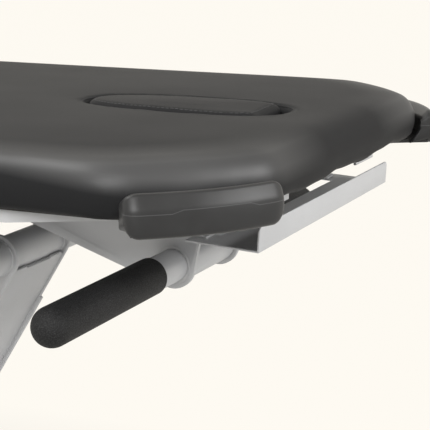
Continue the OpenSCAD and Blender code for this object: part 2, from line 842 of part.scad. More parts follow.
gearbox_x = 26;         // from the base pin to the gearbox
gearbox_len = 92;
gearbox_w = 60;
gearbox_h = 62;
gearbox_high = 64;      // of the part that carries the motor
motor_d = 58;
motor_len = 120;
motor_rise = 61;
motor_cap = 4;
drive_tube_len = 215;
tube_wall = 3;
drive_eye_r = 13;
drive_eye_w = 24;
guide_len = 16;
base_pin_r = 6;

module at_drive() {
    translate([drive_x, 0, drive_z]) rotate([0, -drive_turn, 0]) children();
}

module drive_gearbox() {
    color(housing_colour) at_drive() difference() {
        union() {
            rotate([90, 0, 0]) translate([0, 0, -drive_eye_w / 2]) {
                cylinder(r = drive_eye_r, h = drive_eye_w);
            }
            translate([0, -drive_eye_w / 2, -drive_eye_r]) cube([gearbox_x, drive_eye_w, 2 * drive_eye_r]);
            translate([gearbox_x, -gearbox_w / 2, -gearbox_h / 2]) cube([gearbox_len, gearbox_w, gearbox_h]);
            translate([gearbox_x, -gearbox_w / 2, -gearbox_h / 2 - gearbox_high + overrun]) {
                cube([gearbox_len / 2, gearbox_w, gearbox_high]);
            }
        }
        rotate([90, 0, 0]) translate([0, 0, -gearbox_w]) {
            cylinder(r = base_pin_r + fit_gap, h = 2 * gearbox_w);
        }
    }
}

module drive_motor() {
    color(housing_colour) at_drive() {
        translate([gearbox_x + gearbox_len / 2, 0, -motor_rise]) rotate([0, 90, 0]) {
            cylinder(d = motor_d, h = motor_len);
            translate([0, 0, motor_len]) cylinder(d = motor_d - 2 * motor_cap, h = motor_cap);
        }
    }
}

module drive_tube() {
    color(bright_colour) at_drive() translate([gearbox_x + gearbox_len, 0, 0]) rotate([0, 90, 0]) {
        difference() {
            cylinder(d = drive_tube_d, h = drive_tube_len);
            translate([0, 0, -overrun]) {
                cylinder(d = drive_tube_d - 2 * tube_wall, h = drive_tube_len - guide_len + overrun);
            }
            cylinder(r = drive_rod_d / 2 + fit_gap, h = drive_tube_len + overrun);
        }
    }
}

rod_room = 150;         // that the rod can still slide in from where the table stands
module drive_rod() {
    start = gearbox_x + gearbox_len + rod_room;
    eye_in = drive_pin_r + drive_eye_gap;
    eye_out = eye_in + drive_eye_r / 2;
    color(bright_colour) at_drive() difference() {
        union() {
            translate([start, 0, 0]) rotate([0, 90, 0]) {
                cylinder(d = drive_rod_d, h = drive_len - start - eye_in);
            }
            translate([drive_len, drive_eye_w / 2, 0]) rotate([90, 0, 0]) {
                cylinder(r = eye_out, h = drive_eye_w);
            }
        }
        translate([drive_len, drive_eye_w, 0]) rotate([90, 0, 0]) cylinder(r = eye_in, h = 2 * drive_eye_w);
    }
}

// Base

base_x0 = base_rear_x - base_back;
base_x1 = base_x0 + base_len;
drive_tube_gap = 22;    // from the drive's pin to the cross tube that carries it
base_cross_x = [base_x0 + base_tube / 2, base_x1 - base_tube / 2, drive_x + drive_tube_gap + base_tube / 2];
base_wall = 3;

// The rails run between the two end tubes
module base_rails() {
    from = base_x0 + base_tube;
    to = base_x1 - base_tube;
    color(steel_colour) for (s = [-1, 1]) {
        box_tube_x(from, to, s * base_rail_y, base_clear, base_tube, base_wall);
    }
}

module base_cross_tubes() {
    inner = base_rail_y - base_tube / 2;
    color(steel_colour) {
        for (i = [0, 1]) {
            box_tube_y(base_cross_x[i], -base_w / 2, base_w / 2, base_clear, base_tube, base_wall);
        }
        box_tube_y(base_cross_x[2], -inner, inner, base_clear, base_tube, base_wall);
    }
}

module base_caps() {
    color(plastic_colour) for (i = [0, 1], s = [0, 1]) mirror([0, s, 0]) {
        translate([base_cross_x[i], base_w / 2, base_clear]) rotate([0, 0, 90]) {
            tube_cap(base_tube, base_wall);
        }
    }
}

foot_inset = 34;        // of a foot from the end of its tube
pad_t = 14;
stem_d = 12;
nut_t = 8;
nut_w = 11;
plate_foot = 5;
module at_feet() {
    for (i = [0, 1], s = [-1, 1]) translate([base_cross_x[i], s * (base_w / 2 - foot_inset), 0]) children();
}

module foot_pads() {
    color(rubber_colour) at_feet() cylinder(d = foot_d, h = pad_t);
}

// Threaded stem with its plate on the pad, and a lock nut under the tube
module foot_stems() {
    color(bright_colour) at_feet() {
        translate([0, 0, pad_t]) cylinder(r = foot_d / 2 - plate_foot, h = plate_foot);
        translate([0, 0, pad_t]) cylinder(d = stem_d, h = base_clear - pad_t);
        translate([0, 0, base_clear - nut_t]) cylinder(r = nut_w, h = nut_t, $fn = 6);
    }
}

clevis_t = 6;
clevis_gap = 1;
module drive_clevis() {
    y = drive_eye_w / 2 + clevis_gap;
    wide = 2 * drive_eye_r;
    color(steel_colour) for (s = [0, 1]) mirror([0, s, 0]) difference() {
        union() {
            translate([drive_x, y, drive_z]) rotate([-90, 0, 0]) cylinder(r = drive_eye_r, h = clevis_t);
            translate([drive_x, y, drive_z - drive_eye_r]) cube([drive_tube_gap, clevis_t, wide]);
        }
        translate([drive_x, 0, drive_z]) rotate([-90, 0, 0]) {
            cylinder(r = base_pin_r + weld_gap, h = y + clevis_t + overrun);
        }
    }
}

module drive_base_pin() {
    color(bright_colour) translate([drive_x, 0, drive_z]) {
        cross_pin(base_pin_r, drive_eye_w / 2 + clevis_gap + clevis_t + touch_gap);
    }
}

// Control box between a base rail and the drive, its inlet facing the foot end
box_l = 190;
box_w = 78;
box_h = 46;
box_wall = 3;
box_lid = 4;
box_x = base_rear_x + 150;
box_y = base_rail_y - base_tube / 2 - box_w - touch_gap;
module control_box() {
    color(housing_colour) translate([box_x, box_y, base_clear]) difference() {
        cube([box_l, box_w, box_h]);
        translate([box_wall, box_wall, box_wall]) {
            cube([box_l - 2 * box_wall, box_w - 2 * box_wall, box_h]);
        }
    }
}

module control_box_lid() {
    color(housing_colour) translate([box_x, box_y, base_clear + box_h]) {
        cube([box_l, box_w, box_lid]);
        translate([box_wall + cap_gap, box_wall + cap_gap, -box_lid]) {
            cube([box_l - 2 * (box_wall + cap_gap), box_w - 2 * (box_wall + cap_gap), box_lid]);
        }
    }
}

// Appliance inlet on the box's end, with its three contacts in an open shroud
inlet_w = 28;
inlet_h = 22;
inlet_len = 16;
inlet_wall = 2.5;
contact_w = 2;
contact_h = 5;
contact_step = 6;
contact_len = 7.5;
module mains_inlet() {
    color(rubber_colour) translate([box_x - inlet_len, box_y + box_w / 2, base_clear + box_h / 2]) {
        difference() {
            translate([0, -inlet_w / 2, -inlet_h / 2]) cube([inlet_len, inlet_w, inlet_h]);
            translate([-overrun, -inlet_w / 2 + inlet_wall, -inlet_h / 2 + inlet_wall]) {
                cube([inlet_len - inlet_wall + overrun, inlet_w - 2 * inlet_wall, inlet_h - 2 * inlet_wall]);
            }
        }
        for (i = [-1:1]) translate([inlet_len - inlet_wall - contact_len, i * contact_step - contact_w / 2,
                -contact_h / 2]) {
            cube([contact_len + overrun, contact_w, contact_h]);
        }
    }
}

// Foot switch on the near base rail, with one pedal for up and one for down
switch_l = 150;
switch_w = 70;
switch_h = 26;
switch_x = -40;
switch_wall = 4;
pedal_t = 5;
pedal_axle_r = 3;
pedal_gap = 0.6;
pedal_lift = 10;
switch_y = -base_rail_y - base_tube / 2 - switch_w;
switch_z = base_clear - switch_h / 2;
post_w = 8;
pedal_y = switch_y + switch_w - switch_wall - post_w;
pedal_z = switch_z + switch_h + pedal_lift;

module switch_housing() {
    color(housing_colour) difference() {
        union() {
            translate([switch_x - switch_l / 2, switch_y, switch_z]) cube([switch_l, switch_w, switch_h]);
            for (x = [switch_x - switch_l / 2, switch_x - post_w / 2, switch_x + switch_l / 2 - post_w]) {
                translate([x, pedal_y - post_w / 2, switch_z + switch_h]) cube([post_w, post_w, pedal_lift]);
                translate([x, pedal_y, pedal_z]) rotate([0, 90, 0]) cylinder(d = post_w, h = post_w);
            }
        }
        translate([switch_x - switch_l, pedal_y, pedal_z]) rotate([0, 90, 0]) {
            cylinder(r = pedal_axle_r + fit_gap, h = 2 * switch_l);
        }
        translate([switch_x - switch_l / 2 + switch_wall, switch_y + switch_wall, switch_z - overrun]) {
            cube([switch_l - 2 * switch_wall, switch_w - 2 * switch_wall, switch_h - switch_wall + overrun]);
        }
    }
}

// One pedal with its axle stubs, its plate running out over the housing
pedal_tread = 2;
module pedal(x) {
    room = switch_l / 2 - 1.5 * post_w - 2 * pedal_gap;
    reach = pedal_y - switch_y;
    translate([x, pedal_y, pedal_z]) {
        translate([-room / 2, -reach, -pedal_t / 2]) cube([room, reach, pedal_t]);
        rotate([0, 90, 0]) translate([0, 0, -room / 2]) cylinder(d = post_w, h = room);
        rotate([0, 90, 0]) translate([0, 0, -room / 2 - post_w / 2]) {
            cylinder(r = pedal_axle_r, h = room + post_w);
        }
        for (i = [1:3]) translate([-room / 3, -reach + i * reach / 5, pedal_t / 2]) {
            cube([room * 2 / 3, pedal_tread, pedal_tread / 2]);
        }
    }
}

module pedal_up() { color(plastic_colour) pedal(switch_x + switch_l / 4 - post_w / 4); }
module pedal_down() { color(plastic_colour) pedal(switch_x - switch_l / 4 + post_w / 4); }

// Backrest hinge

lug_t = 8;
lug_r = 8;
side_play = 0.5;
pin_r = hinge_pin_d / 2;

// Lug from the end channel of a section to the hinge's axis, turned by mirroring
module hinge_lug(y, t) {
    low = deck_z - edge_rail_t;
    difference() {
        union() {
            translate([-joint_rail_gap, y, low]) cube([joint_rail_gap, t, deck_z - touch_gap - low]);
            translate([0, y, hinge_z]) rotate([-90, 0, 0]) cylinder(r = lug_r, h = t);
        }
        translate([0, y - overrun, hinge_z]) rotate([-90, 0, 0]) {
            cylinder(r = pin_r + fit_gap, h = t + 2 * overrun);
        }
    }
}

module hinge_lugs() {
    color(steel_colour) for (s = [-1, 1]) translate([hinge_x, 0, 0]) {
        hinge_lug(s * hinge_y - lug_t / 2, lug_t);
    }
}

module hinge_clevises() {
    color(steel_colour) for (s = [-1, 1], side = [-1, 1]) translate([hinge_x, 0, 0]) mirror([1, 0, 0]) {
        hinge_lug(s * hinge_y + side * (lug_t + side_play) - lug_t / 2, lug_t);
    }
}

module hinge_pins() {
    reach = 1.5 * lug_t + 2 * side_play;
    color(bright_colour) for (s = [-1, 1]) translate([hinge_x, s * hinge_y, hinge_z]) {
        rotate([90, 0, 0]) translate([0, 0, -reach]) cylinder(r = pin_r, h = 2 * reach);
    }
}

// Lockable gas spring, drawn lying along +X from its lower pin

spring_z = hinge_z - spring_drop;
spring_top_x = hinge_x + spring_reach;
spring_top_z = hinge_z - spring_low;
spring_len = norm([spring_reach, spring_drop - spring_low]);
spring_turn = atan2(spring_drop - spring_low, spring_reach);
spring_pin_r = 5;
spring_eye_w = 14;
bracket_rim = 6;
spring_eye_wall = 4.5;
spring_body_len = 230;
spring_cap = 10;
spring_bore_start = 75;
bracket_t = 5;

module at_spring() {
    translate([hinge_x, 0, spring_z]) rotate([0, -spring_turn, 0]) children();
}

// Two plates from the cross tube to the lower pin, and the pin between them
module spring_bracket() {
    y = spring_d / 2 + clevis_gap;
    back = hinge_x - spring_tube_back + main_tube / 2;
    r = spring_pin_r + bracket_rim;
    color(steel_colour) {
        for (s = [0, 1]) mirror([0, s, 0]) {
            translate([hinge_x, y, spring_z]) rotate([-90, 0, 0]) cylinder(r = r, h = bracket_t);
            translate([0, y + bracket_t, 0]) rotate([90, 0, 0]) linear_extrude(bracket_t) {
                polygon([[back, main_top - main_tube], [back, main_top - main_tube / 3],
                    [hinge_x + r, spring_z], [hinge_x - r, spring_z]]);
            }
        }
        translate([hinge_x, 0, spring_z]) rotate([90, 0, 0]) translate([0, 0, -y - bracket_t / 2]) {
            cylinder(r = spring_pin_r, h = 2 * y + bracket_t);
        }
    }
}

module spring_cylinder() {
    eye = spring_pin_r + spring_eye_wall;
    color(rubber_colour) at_spring() difference() {
        union() {
            rotate([90, 0, 0]) translate([0, 0, -spring_d / 2]) cylinder(r = eye, h = spring_d);
            translate([eye / 2, 0, 0]) rotate([0, 90, 0]) cylinder(r = spring_rod_d / 2, h = eye);
            translate([eye + spring_cap / 2, 0, 0]) rotate([0, 90, 0]) {
                cylinder(d = spring_d, h = spring_body_len - eye - spring_cap / 2);
            }
        }
        rotate([90, 0, 0]) translate([0, 0, -spring_eye_w]) {
            cylinder(r = spring_pin_r + fit_gap, h = 2 * spring_eye_w);
        }
        translate([spring_bore_start, 0, 0]) rotate([0, 90, 0]) {
            cylinder(r = spring_rod_d / 2 + fit_gap, h = spring_body_len);
        }
    }
}

module spring_rod() {
    start = spring_bore_start + spring_cap;
    eye_in = spring_pin_r + spring_eye_gap;
    eye_out = eye_in + spring_eye_wall;
    color(bright_colour) at_spring() difference() {
        union() {
            translate([start, 0, 0]) rotate([0, 90, 0]) {
                cylinder(d = spring_rod_d, h = spring_len - start - eye_in);
            }
            translate([spring_len, spring_eye_w / 2, 0]) rotate([90, 0, 0]) {
                cylinder(r = eye_out, h = spring_eye_w);
            }
        }
        translate([spring_len, spring_eye_w, 0]) rotate([90, 0, 0]) {
            cylinder(r = eye_in, h = 2 * spring_eye_w);
        }
    }
}

// Grab bar and its plates

plate_in = bar_plate_gap / 2;
bar_plate_nose = 45;    // reach of a plate's top ahead of the bar
tail_h = 6;             // depth of a plate at its tail
plate_top = deck_z - edge_rail_t;

module bar_plate_shape() {
    foot = [bar_x - bar_eye_r * sin(bar_plate_slope), bar_z - bar_eye_r * cos(bar_plate_slope)];
    tail_x = bar_x - bar_plate_len;
    difference() {
        union() {
            translate([bar_x, bar_z]) circle(r = bar_eye_r);
            polygon([foot, [tail_x, foot[1] + (foot[0] - tail_x) * tan(bar_plate_slope)],
                [tail_x, plate_top], [bar_x + bar_plate_nose, plate_top],
                [bar_x + bar_plate_nose, plate_top - tail_h], [bar_x + bar_eye_r, bar_z]]);
        }
        translate([bar_x, bar_z]) circle(r = sleeve_d / 2 + weld_gap);
        translate([spring_top_x, spring_top_z]) circle(r = spring_pin_r + weld_gap);
    }
}

// Two plates and the sleeve between them
module bar_plates() {
    color(steel_colour) {
        for (s = [-1, 1]) translate([0, s * plate_in + bar_plate_t / 2, 0]) rotate([90, 0, 0]) {
            linear_extrude(bar_plate_t) bar_plate_shape();
        }
        translate([bar_x, 0, bar_z]) rotate([90, 0, 0]) difference() {
            translate([0, 0, -plate_in - bar_plate_t / 2]) {
                cylinder(d = sleeve_d, h = bar_plate_gap + bar_plate_t);
            }
            translate([0, 0, -bar_plate_gap]) cylinder(r = bar_d / 2 + weld_gap, h = 2 * bar_plate_gap);
        }
    }
}

bar_wall = 2.5;
grip_cap = 13;          // foam past the end of the bar
bar_half = bar_len / 2 - grip_cap;
module grab_bar() {
    color(steel_colour) translate([bar_x, 0, bar_z]) rotate([90, 0, 0]) difference() {
        translate([0, 0, -bar_half]) cylinder(d = bar_d, h = 2 * bar_half);
        translate([0, 0, -bar_half - overrun]) {
            cylinder(r = bar_d / 2 - bar_wall, h = 2 * (bar_half + overrun));
        }
    }
}

// Foam grip with a domed closed end and a rounded inner end
grip_inner_round = 7;
module grip() {
    r = grip_d / 2;
    start = bar_len / 2 - grip_len;
    dome = [for (i = [0:8]) let (a = 90 * i / 8) [r * cos(a), bar_len / 2 - r + r * sin(a)]];
    heel = [for (i = [0:4]) let (a = 90 * i / 4)
        [r - grip_inner_round * (1 - sin(a)), start + grip_inner_round * (1 - cos(a))]];
    color(foam_colour) translate([bar_x, 0, bar_z]) rotate([-90, 0, 0]) rotate_extrude() {
        difference() {
            polygon(concat([[0, start]], heel, dome));
            translate([0, start - overrun]) square([bar_d / 2 + fit_gap, bar_half - start + overrun]);
        }
    }
}

module grip_left() { grip(); }
module grip_right() { mirror([0, 1, 0]) grip(); }

module spring_pin() {
    reach = plate_in + bar_plate_t / 2 + touch_gap;
    color(bright_colour) translate([spring_top_x, 0, spring_top_z]) cross_pin(spring_pin_r, reach);
}

// End tray and its brackets, drawn from the foot of the upright

tray_x = x_head - tray_setback;
tray_corner_r = 6;
module at_tray() {
    translate([tray_x, 0, deck_z - tray_drop]) rotate([0, tray_tilt, 0]) children();
}

module tray_upright() {
    r = tray_corner_r;
    translate([0, 0, 0]) rotate([90, 0, 90]) linear_extrude(tray_t) {
        translate([-tray_w / 2, 0]) square([tray_w, tray_up - r]);
        translate([-tray_w / 2 + r, 0]) square([tray_w - 2 * r, tray_up]);
        for (s = [-1, 1]) translate([s * (tray_w / 2 - r), tray_up - r]) circle(r = r);
    }
}

module end_tray() {
    color(steel_colour) at_tray() {
        translate([-tray_t, 0, 0]) tray_upright();
        translate([-tray_strip, -tray_w / 2, 0]) cube([tray_strip, tray_w, tray_t]);
        for (s = [-1, 1]) {
            translate([-tray_reach, s > 0 ? tray_w / 2 - tray_arm_w : -tray_w / 2, 0]) {
                cube([tray_reach, tray_arm_w, tray_t]);
            }
        }
    }
}

// Cranked strip from the board's underside down to the tray's arm
hanger_w = 20;
hanger_foot = 16;
hanger_back = 20;
module tray_brackets() {
    y0 = tray_w / 2 - tray_arm_w + spare_gap;
    back = tray_x - tray_reach;
    low = deck_z - tray_drop + tray_reach * sin(tray_tilt) + tray_t * cos(tray_tilt);
    color(steel_colour) for (s = [0, 1]) mirror([0, s, 0]) {
        at_tray() translate([-tray_reach, y0, tray_t]) cube([hanger_foot, hanger_w, tray_t]);
        translate([back, y0, low]) cube([tray_t, hanger_w, deck_z - touch_gap - low]);
        translate([back - hanger_back, y0, deck_z - touch_gap - tray_t]) {
            cube([hanger_back + tray_t, hanger_w, tray_t]);
        }
    }
}

// Release lever on the near rail's outer face, and the cable from it to the gas spring's head

lever_x = spring_top_x;
lever_len = 90;
lever_t = 5;
lever_w = 10;
lever_pad_len = 26;
lever_pad_t = 13;
lever_low = 7;          // of the lever's pin below the boards
lever_pin_r = 3;
lever_z = deck_z - lever_low;
rail_face_y = half_w - side_inset;

// The lever turns with its pin, which goes through the rail
module release_lever() {
    color(plastic_colour) translate([lever_x, -rail_face_y - touch_gap, lever_z]) rotate([90, 0, 0]) {
        cylinder(d = lever_w, h = lever_t);
        translate([-lever_len, -lever_w / 2, 0]) cube([lever_len, lever_w, lever_t]);
        translate([-lever_len, -lever_w / 2, 0]) cube([lever_pad_len, lever_w, lever_pad_t]);
        translate([0, 0, -edge_wall - touch_gap]) {
            cylinder(r = lever_pin_r, h = edge_wall + touch_gap + lever_t);
        }
    }
}

cable_d = 5;
module release_cable() {
    y0 = -rail_face_y + edge_wall + touch_gap;
    y1 = -spring_eye_w / 2 - 2 * spare_gap;
    color(rubber_colour) translate([lever_x, y0, lever_z]) rotate([-90, 0, 0]) {
        cylinder(d = cable_d, h = y1 - y0);
    }
}

base_rails();
base_cross_tubes();
base_caps();
base_pivot_plates();
lower_bushes();
foot_pads();
foot_stems();
drive_clevis();
drive_base_pin();
control_box();
control_box_lid();
mains_inlet();
switch_housing();
pedal_up();
pedal_down();
front_arm();
front_arm_tubes();
front_pivot_bolts();
rear_arm();
rear_arm_tubes();
rear_pivot_bolts();
drive_arm_pin();
drive_gearbox();
drive_motor();
drive_tube();
drive_rod();
frame_side_tubes();
frame_cross_tubes();
frame_caps();
top_pivot_plates();
upper_bushes();
seat_side_rails();
seat_cross_rails();
seat_board();
seat_cushion();
bumper_foot_left();
bumper_foot_right();
hinge_lugs();
hinge_pins();
rest_pads();
spring_bracket();
back_side_rails();
back_cross_rails();
back_board();
back_cushion();
bumper_head_left();
bumper_head_right();
bar_plates();
grab_bar();
grip_left();
grip_right();
end_tray();
tray_brackets();
hinge_clevises();
spring_pin();
face_plug();
spring_cylinder();
spring_rod();
release_lever();
release_cable();
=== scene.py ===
# Electric treatment table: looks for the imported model
import json
import math

import bmesh
import bpy
import numpy as np
from mathutils import Matrix, Vector

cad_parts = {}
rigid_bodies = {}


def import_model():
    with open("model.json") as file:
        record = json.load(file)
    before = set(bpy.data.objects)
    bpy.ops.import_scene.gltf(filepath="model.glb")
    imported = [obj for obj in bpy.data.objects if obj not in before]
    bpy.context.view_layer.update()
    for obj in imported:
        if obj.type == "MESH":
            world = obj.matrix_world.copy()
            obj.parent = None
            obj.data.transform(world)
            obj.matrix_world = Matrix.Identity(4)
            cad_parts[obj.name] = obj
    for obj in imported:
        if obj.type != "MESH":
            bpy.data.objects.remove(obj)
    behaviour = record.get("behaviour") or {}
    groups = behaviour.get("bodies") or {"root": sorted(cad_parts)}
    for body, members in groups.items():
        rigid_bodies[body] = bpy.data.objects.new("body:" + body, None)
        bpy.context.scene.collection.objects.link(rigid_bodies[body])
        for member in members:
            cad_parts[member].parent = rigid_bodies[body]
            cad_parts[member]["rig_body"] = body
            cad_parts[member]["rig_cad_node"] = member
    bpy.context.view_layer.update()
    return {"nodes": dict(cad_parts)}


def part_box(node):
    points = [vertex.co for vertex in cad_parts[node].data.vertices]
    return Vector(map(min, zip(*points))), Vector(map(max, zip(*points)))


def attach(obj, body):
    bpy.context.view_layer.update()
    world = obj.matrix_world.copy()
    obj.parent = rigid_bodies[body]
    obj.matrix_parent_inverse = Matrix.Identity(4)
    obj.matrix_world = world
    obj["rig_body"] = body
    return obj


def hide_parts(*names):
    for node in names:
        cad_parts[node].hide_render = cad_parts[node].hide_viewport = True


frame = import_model()
nodes = frame["nodes"]
mm = 0.001
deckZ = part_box("back_board")[0].z  # underside of the boards
print("frame loaded:", len(nodes), "nodes")

table = {  # the table's own lines, in metres
    "headX": 1.000, "halfWidth": 0.345, "hingeX": 0.190,
    "cornerX": 0.6758, "cornerY": 0.0346,  # centre of the arc that each bumper follows
    "slotX": 0.799, "slotLength": 0.238, "slotWidth": 0.110, "slotPower": 2.5, "slotFlare": 0.08,
    "barX": 0.812, "barZ": 0.744075,
}


# Camera and light

camera = {"place": (1.4684, -1.3969, 1.1221), "turn": (90 - 12.24, 0, 24.41), "lens": 119.04,
          "sensor": 36, "reach": 100}
eye = bpy.data.cameras.new("tableCamera")
eye.lens = camera["lens"]
eye.sensor_width = camera["sensor"]
eye.clip_end = camera["reach"]
eyeObject = bpy.data.objects.new("tableCamera", eye)
bpy.context.scene.collection.objects.link(eyeObject)
eyeObject.location = camera["place"]
eyeObject.rotation_euler = [math.radians(a) for a in camera["turn"]]
bpy.context.scene.camera = eyeObject
bpy.context.scene.view_settings.view_transform = "Standard"

studio = {
    "paper": (1.0, 0.965, 0.896),  # the pale ground that shows, linear
    "air": (0.28, 0.28, 0.282),  # light from all round
    "lamps": [  # place, aim, width, depth, power
        ((3.8, 0.3, 2.2), (0.8, 0.0, 0.8), 1.4, 1.4, 76),
        ((1.2, -2.8, 2.2), (0.6, -0.1, 0.8), 1.8, 1.0, 70),
        ((-1.1, -0.6, 3.0), (0.4, -0.3, 0.9), 1.6, 1.2, 44),
    ],
}


def seenWhite(tree):  # how far a surface shows the paper to the camera and in mirrors
    path = tree.nodes.new("ShaderNodeLightPath")
    total = path.outputs["Is Camera Ray"]
    for kind in ("Is Glossy Ray", "Is Transmission Ray"):
        more = tree.nodes.new("ShaderNodeMath")
        more.operation = "MAXIMUM"
        tree.links.new(total, more.inputs[0])
        tree.links.new(path.outputs[kind], more.inputs[1])
        total = more.outputs[0]
    return total


def makeStudio():
    world = bpy.data.worlds.new("air")
    bpy.context.scene.world = world
    world.use_nodes = True
    tree = world.node_tree
    tree.nodes.clear()
    seen = tree.nodes.new("ShaderNodeBackground")
    seen.inputs["Color"].default_value = (*studio["paper"], 1)
    lit = tree.nodes.new("ShaderNodeBackground")
    lit.inputs["Color"].default_value = (*studio["air"], 1)
    mix = tree.nodes.new("ShaderNodeMixShader")
    out = tree.nodes.new("ShaderNodeOutputWorld")
    tree.links.new(seenWhite(tree), mix.inputs["Fac"])
    tree.links.new(lit.outputs[0], mix.inputs[1])
    tree.links.new(seen.outputs[0], mix.inputs[2])
    tree.links.new(mix.outputs[0], out.inputs[0])
    for place, aim, width, depth, power in studio["lamps"]:
        lamp = bpy.data.lights.new("softLamp", "AREA")
        lamp.shape = "RECTANGLE"
        lamp.size, lamp.size_y, lamp.energy = width, depth, power
        lampObject = bpy.data.objects.new("softLamp", lamp)
        bpy.context.scene.collection.objects.link(lampObject)
        lampObject.location = place
        lampObject.rotation_euler = (Vector(aim) - Vector(place)).to_track_quat("-Z", "Y").to_euler()


makeStudio()


# Paints

class Signal:  # a socket that can be used in sums
    def __init__(self, paint, socket):
        self.paint, self.socket = paint, socket

    def sum(self, kind, *others):
        node = self.paint.tree.nodes.new("ShaderNodeMath")
        node.operation = kind
        for i, value in enumerate(others):
            self.paint.give(node.inputs[i], value)
        return Signal(self.paint, node.outputs[0])

    def __add__(self, other):
        return self.sum("ADD", self, other)

    def __sub__(self, other):
        return self.sum("SUBTRACT", self, other)

    def __rsub__(self, other):
        return self.sum("SUBTRACT", other, self)

    def __mul__(self, other):
        return self.sum("MULTIPLY", self, other)

    def __abs__(self):
        return self.sum("ABSOLUTE", self)

    def __gt__(self, other):
        return self.sum("GREATER_THAN", self, other)

    __radd__ = __add__
    __rmul__ = __mul__


class Paint:  # a material whose pattern follows Object coordinates
    def __init__(self, name, color, roughness, metallic=0.0, **sockets):
        self.material = bpy.data.materials.new(name)
        self.material.use_nodes = True
        self.tree = self.material.node_tree
        self.shader = self.tree.nodes["Principled BSDF"]
        self.roughness = roughness
        self.shader.inputs["Base Color"].default_value = (*color, 1)
        self.shader.inputs["Roughness"].default_value = roughness
        self.shader.inputs["Metallic"].default_value = metallic
        for socket, value in sockets.items():
            self.shader.inputs[socket.replace("_", " ")].default_value = value
        self.place = self.make("ShaderNodeTexCoord", out="Object")

    def give(self, socket, value):
        if isinstance(value, Signal):
            self.tree.links.new(value.socket, socket)
        else:
            socket.default_value = value

    def make(self, kind, settings=None, values=None, out=0):
        node = self.tree.nodes.new(kind)
        for key, value in (settings or {}).items():
            setattr(node, key, value)
        for key, value in (values or {}).items():
            self.give(node.inputs[key], value)
        return Signal(self, node.outputs[out])

    def split(self):  # x, y and z of the place
        axes = self.make("ShaderNodeSeparateXYZ", None, {"Vector": self.place}).socket.node
        return [Signal(self, output) for output in axes.outputs]

    def stretched(self, scale):
        return self.make("ShaderNodeMapping", None, {"Vector": self.place, "Scale": scale})

    def cloud(self, scale, detail, rough=0.5, place=None):
        return self.make("ShaderNodeTexNoise", None, {
            "Vector": place or self.place, "Scale": scale, "Detail": detail, "Roughness": rough})

    def cells(self, scale, feature="F1"):
        return self.make("ShaderNodeTexVoronoi", {"feature": feature}, {
            "Vector": self.place, "Scale": scale})

    def between(self, value, low, high, start=0.0, end=1.0):
        return self.make("ShaderNodeMapRange", None, {
            "Value": value, "From Min": low, "From Max": high, "To Min": start, "To Max": end})

    def tones(self, factor, dark, light):  # dark may be a pattern of its own
        under = dark if isinstance(dark, Signal) else (*dark, 1)
        return self.make("ShaderNodeMix", {"data_type": "RGBA"}, {
            0: factor, 6: under, 7: (*light, 1)}, out=2)

    def color(self, value):
        self.give(self.shader.inputs["Base Color"], value)

    def rough(self, pattern, low, high, less, more):  # runs from roughness - less to roughness + more
        self.give(self.shader.inputs["Roughness"], self.between(
            pattern, low, high, self.roughness - less, self.roughness + more))

    def relief(self, height, depth, strength):
        bump = self.make("ShaderNodeBump", None, {
            "Height": height, "Distance": depth, "Strength": strength})
        self.give(self.shader.inputs["Normal"], bump)


def vinylPaint():
    look = {"dark": (0.0185, 0.0185, 0.0190), "light": (0.0225, 0.0225, 0.0230), "roughness": 0.50,
            "grain": 1500, "poreShare": 0.45, "crease": 0.12, "depth": 0.00010,
            # the lighter edge colour and its bounds below make a painted highlight along the rounded top
            # edges
            "worn": (0.046, 0.046, 0.0464), "highlightFrom": 0.08, "wornTo": 0.28, "polish": 0.9,
            "highlightLow": 0.038, "fadeIn": 0.018, "highlightHigh": 0.0530, "fadeOut": 0.007,
            "cornerFrom": 0.78, "cornerTo": 0.94, "cornerDip": 0.018}
    paint = Paint("charcoalVinyl", look["light"], look["roughness"],
                  Specular_IOR_Level=0.035, Coat_Roughness=0.45)
    grain = paint.cells(look["grain"])
    pores = paint.cells(look["grain"] * look["poreShare"], "DISTANCE_TO_EDGE")
    creases = paint.between(pores, 0.0, look["crease"])
    wear = paint.cloud(5, 2)
    x, y, z = paint.split()
    side = paint.between(abs(y), look["highlightFrom"], look["wornTo"])
    level = z - deckZ
    # near the ends the painted highlight reaches lower, over the corners above the bumpers
    corner = paint.between(abs(x), look["cornerFrom"], look["cornerTo"]) * look["cornerDip"]
    above = paint.between(level + corner, look["highlightLow"], look["highlightLow"] + look["fadeIn"])
    below = paint.between(level, look["highlightHigh"], look["highlightHigh"] + look["fadeOut"], 1.0, 0.0)
    polish = side * above * below  # painted highlight: the long top edges, reaching lower at the corners, are painted lighter, and they also get a smoother glossy coat
    skin = paint.tones(paint.between(wear * 0.6 + grain * 0.4, 0.25, 0.75), look["dark"], look["light"])
    paint.color(paint.tones(polish, skin, look["worn"]))
    paint.give(paint.shader.inputs["Coat Weight"], polish * look["polish"])
    paint.rough(paint.cloud(7, 2), 0.3, 0.7, less=0.015, more=0.015)
    paint.relief(grain * 0.5 + creases * 0.5, look["depth"], 0.6)
    return paint.material


def threadPaint():
    look = {"dark": (0.03, 0.03, 0.031), "light": (0.075, 0.075, 0.077), "plain": (0.045, 0.045, 0.046),
            "roughness": 0.7, "twist": 900.0}
    paint = Paint("darkThread", look["plain"], look["roughness"])
    twist = paint.make("ShaderNodeTexWave", {"bands_direction": "DIAGONAL"}, {
        "Vector": paint.place, "Scale": look["twist"], "Distortion": 0.5}, out=1)
    paint.color(paint.tones(twist, look["dark"], look["light"]))
    return paint.material


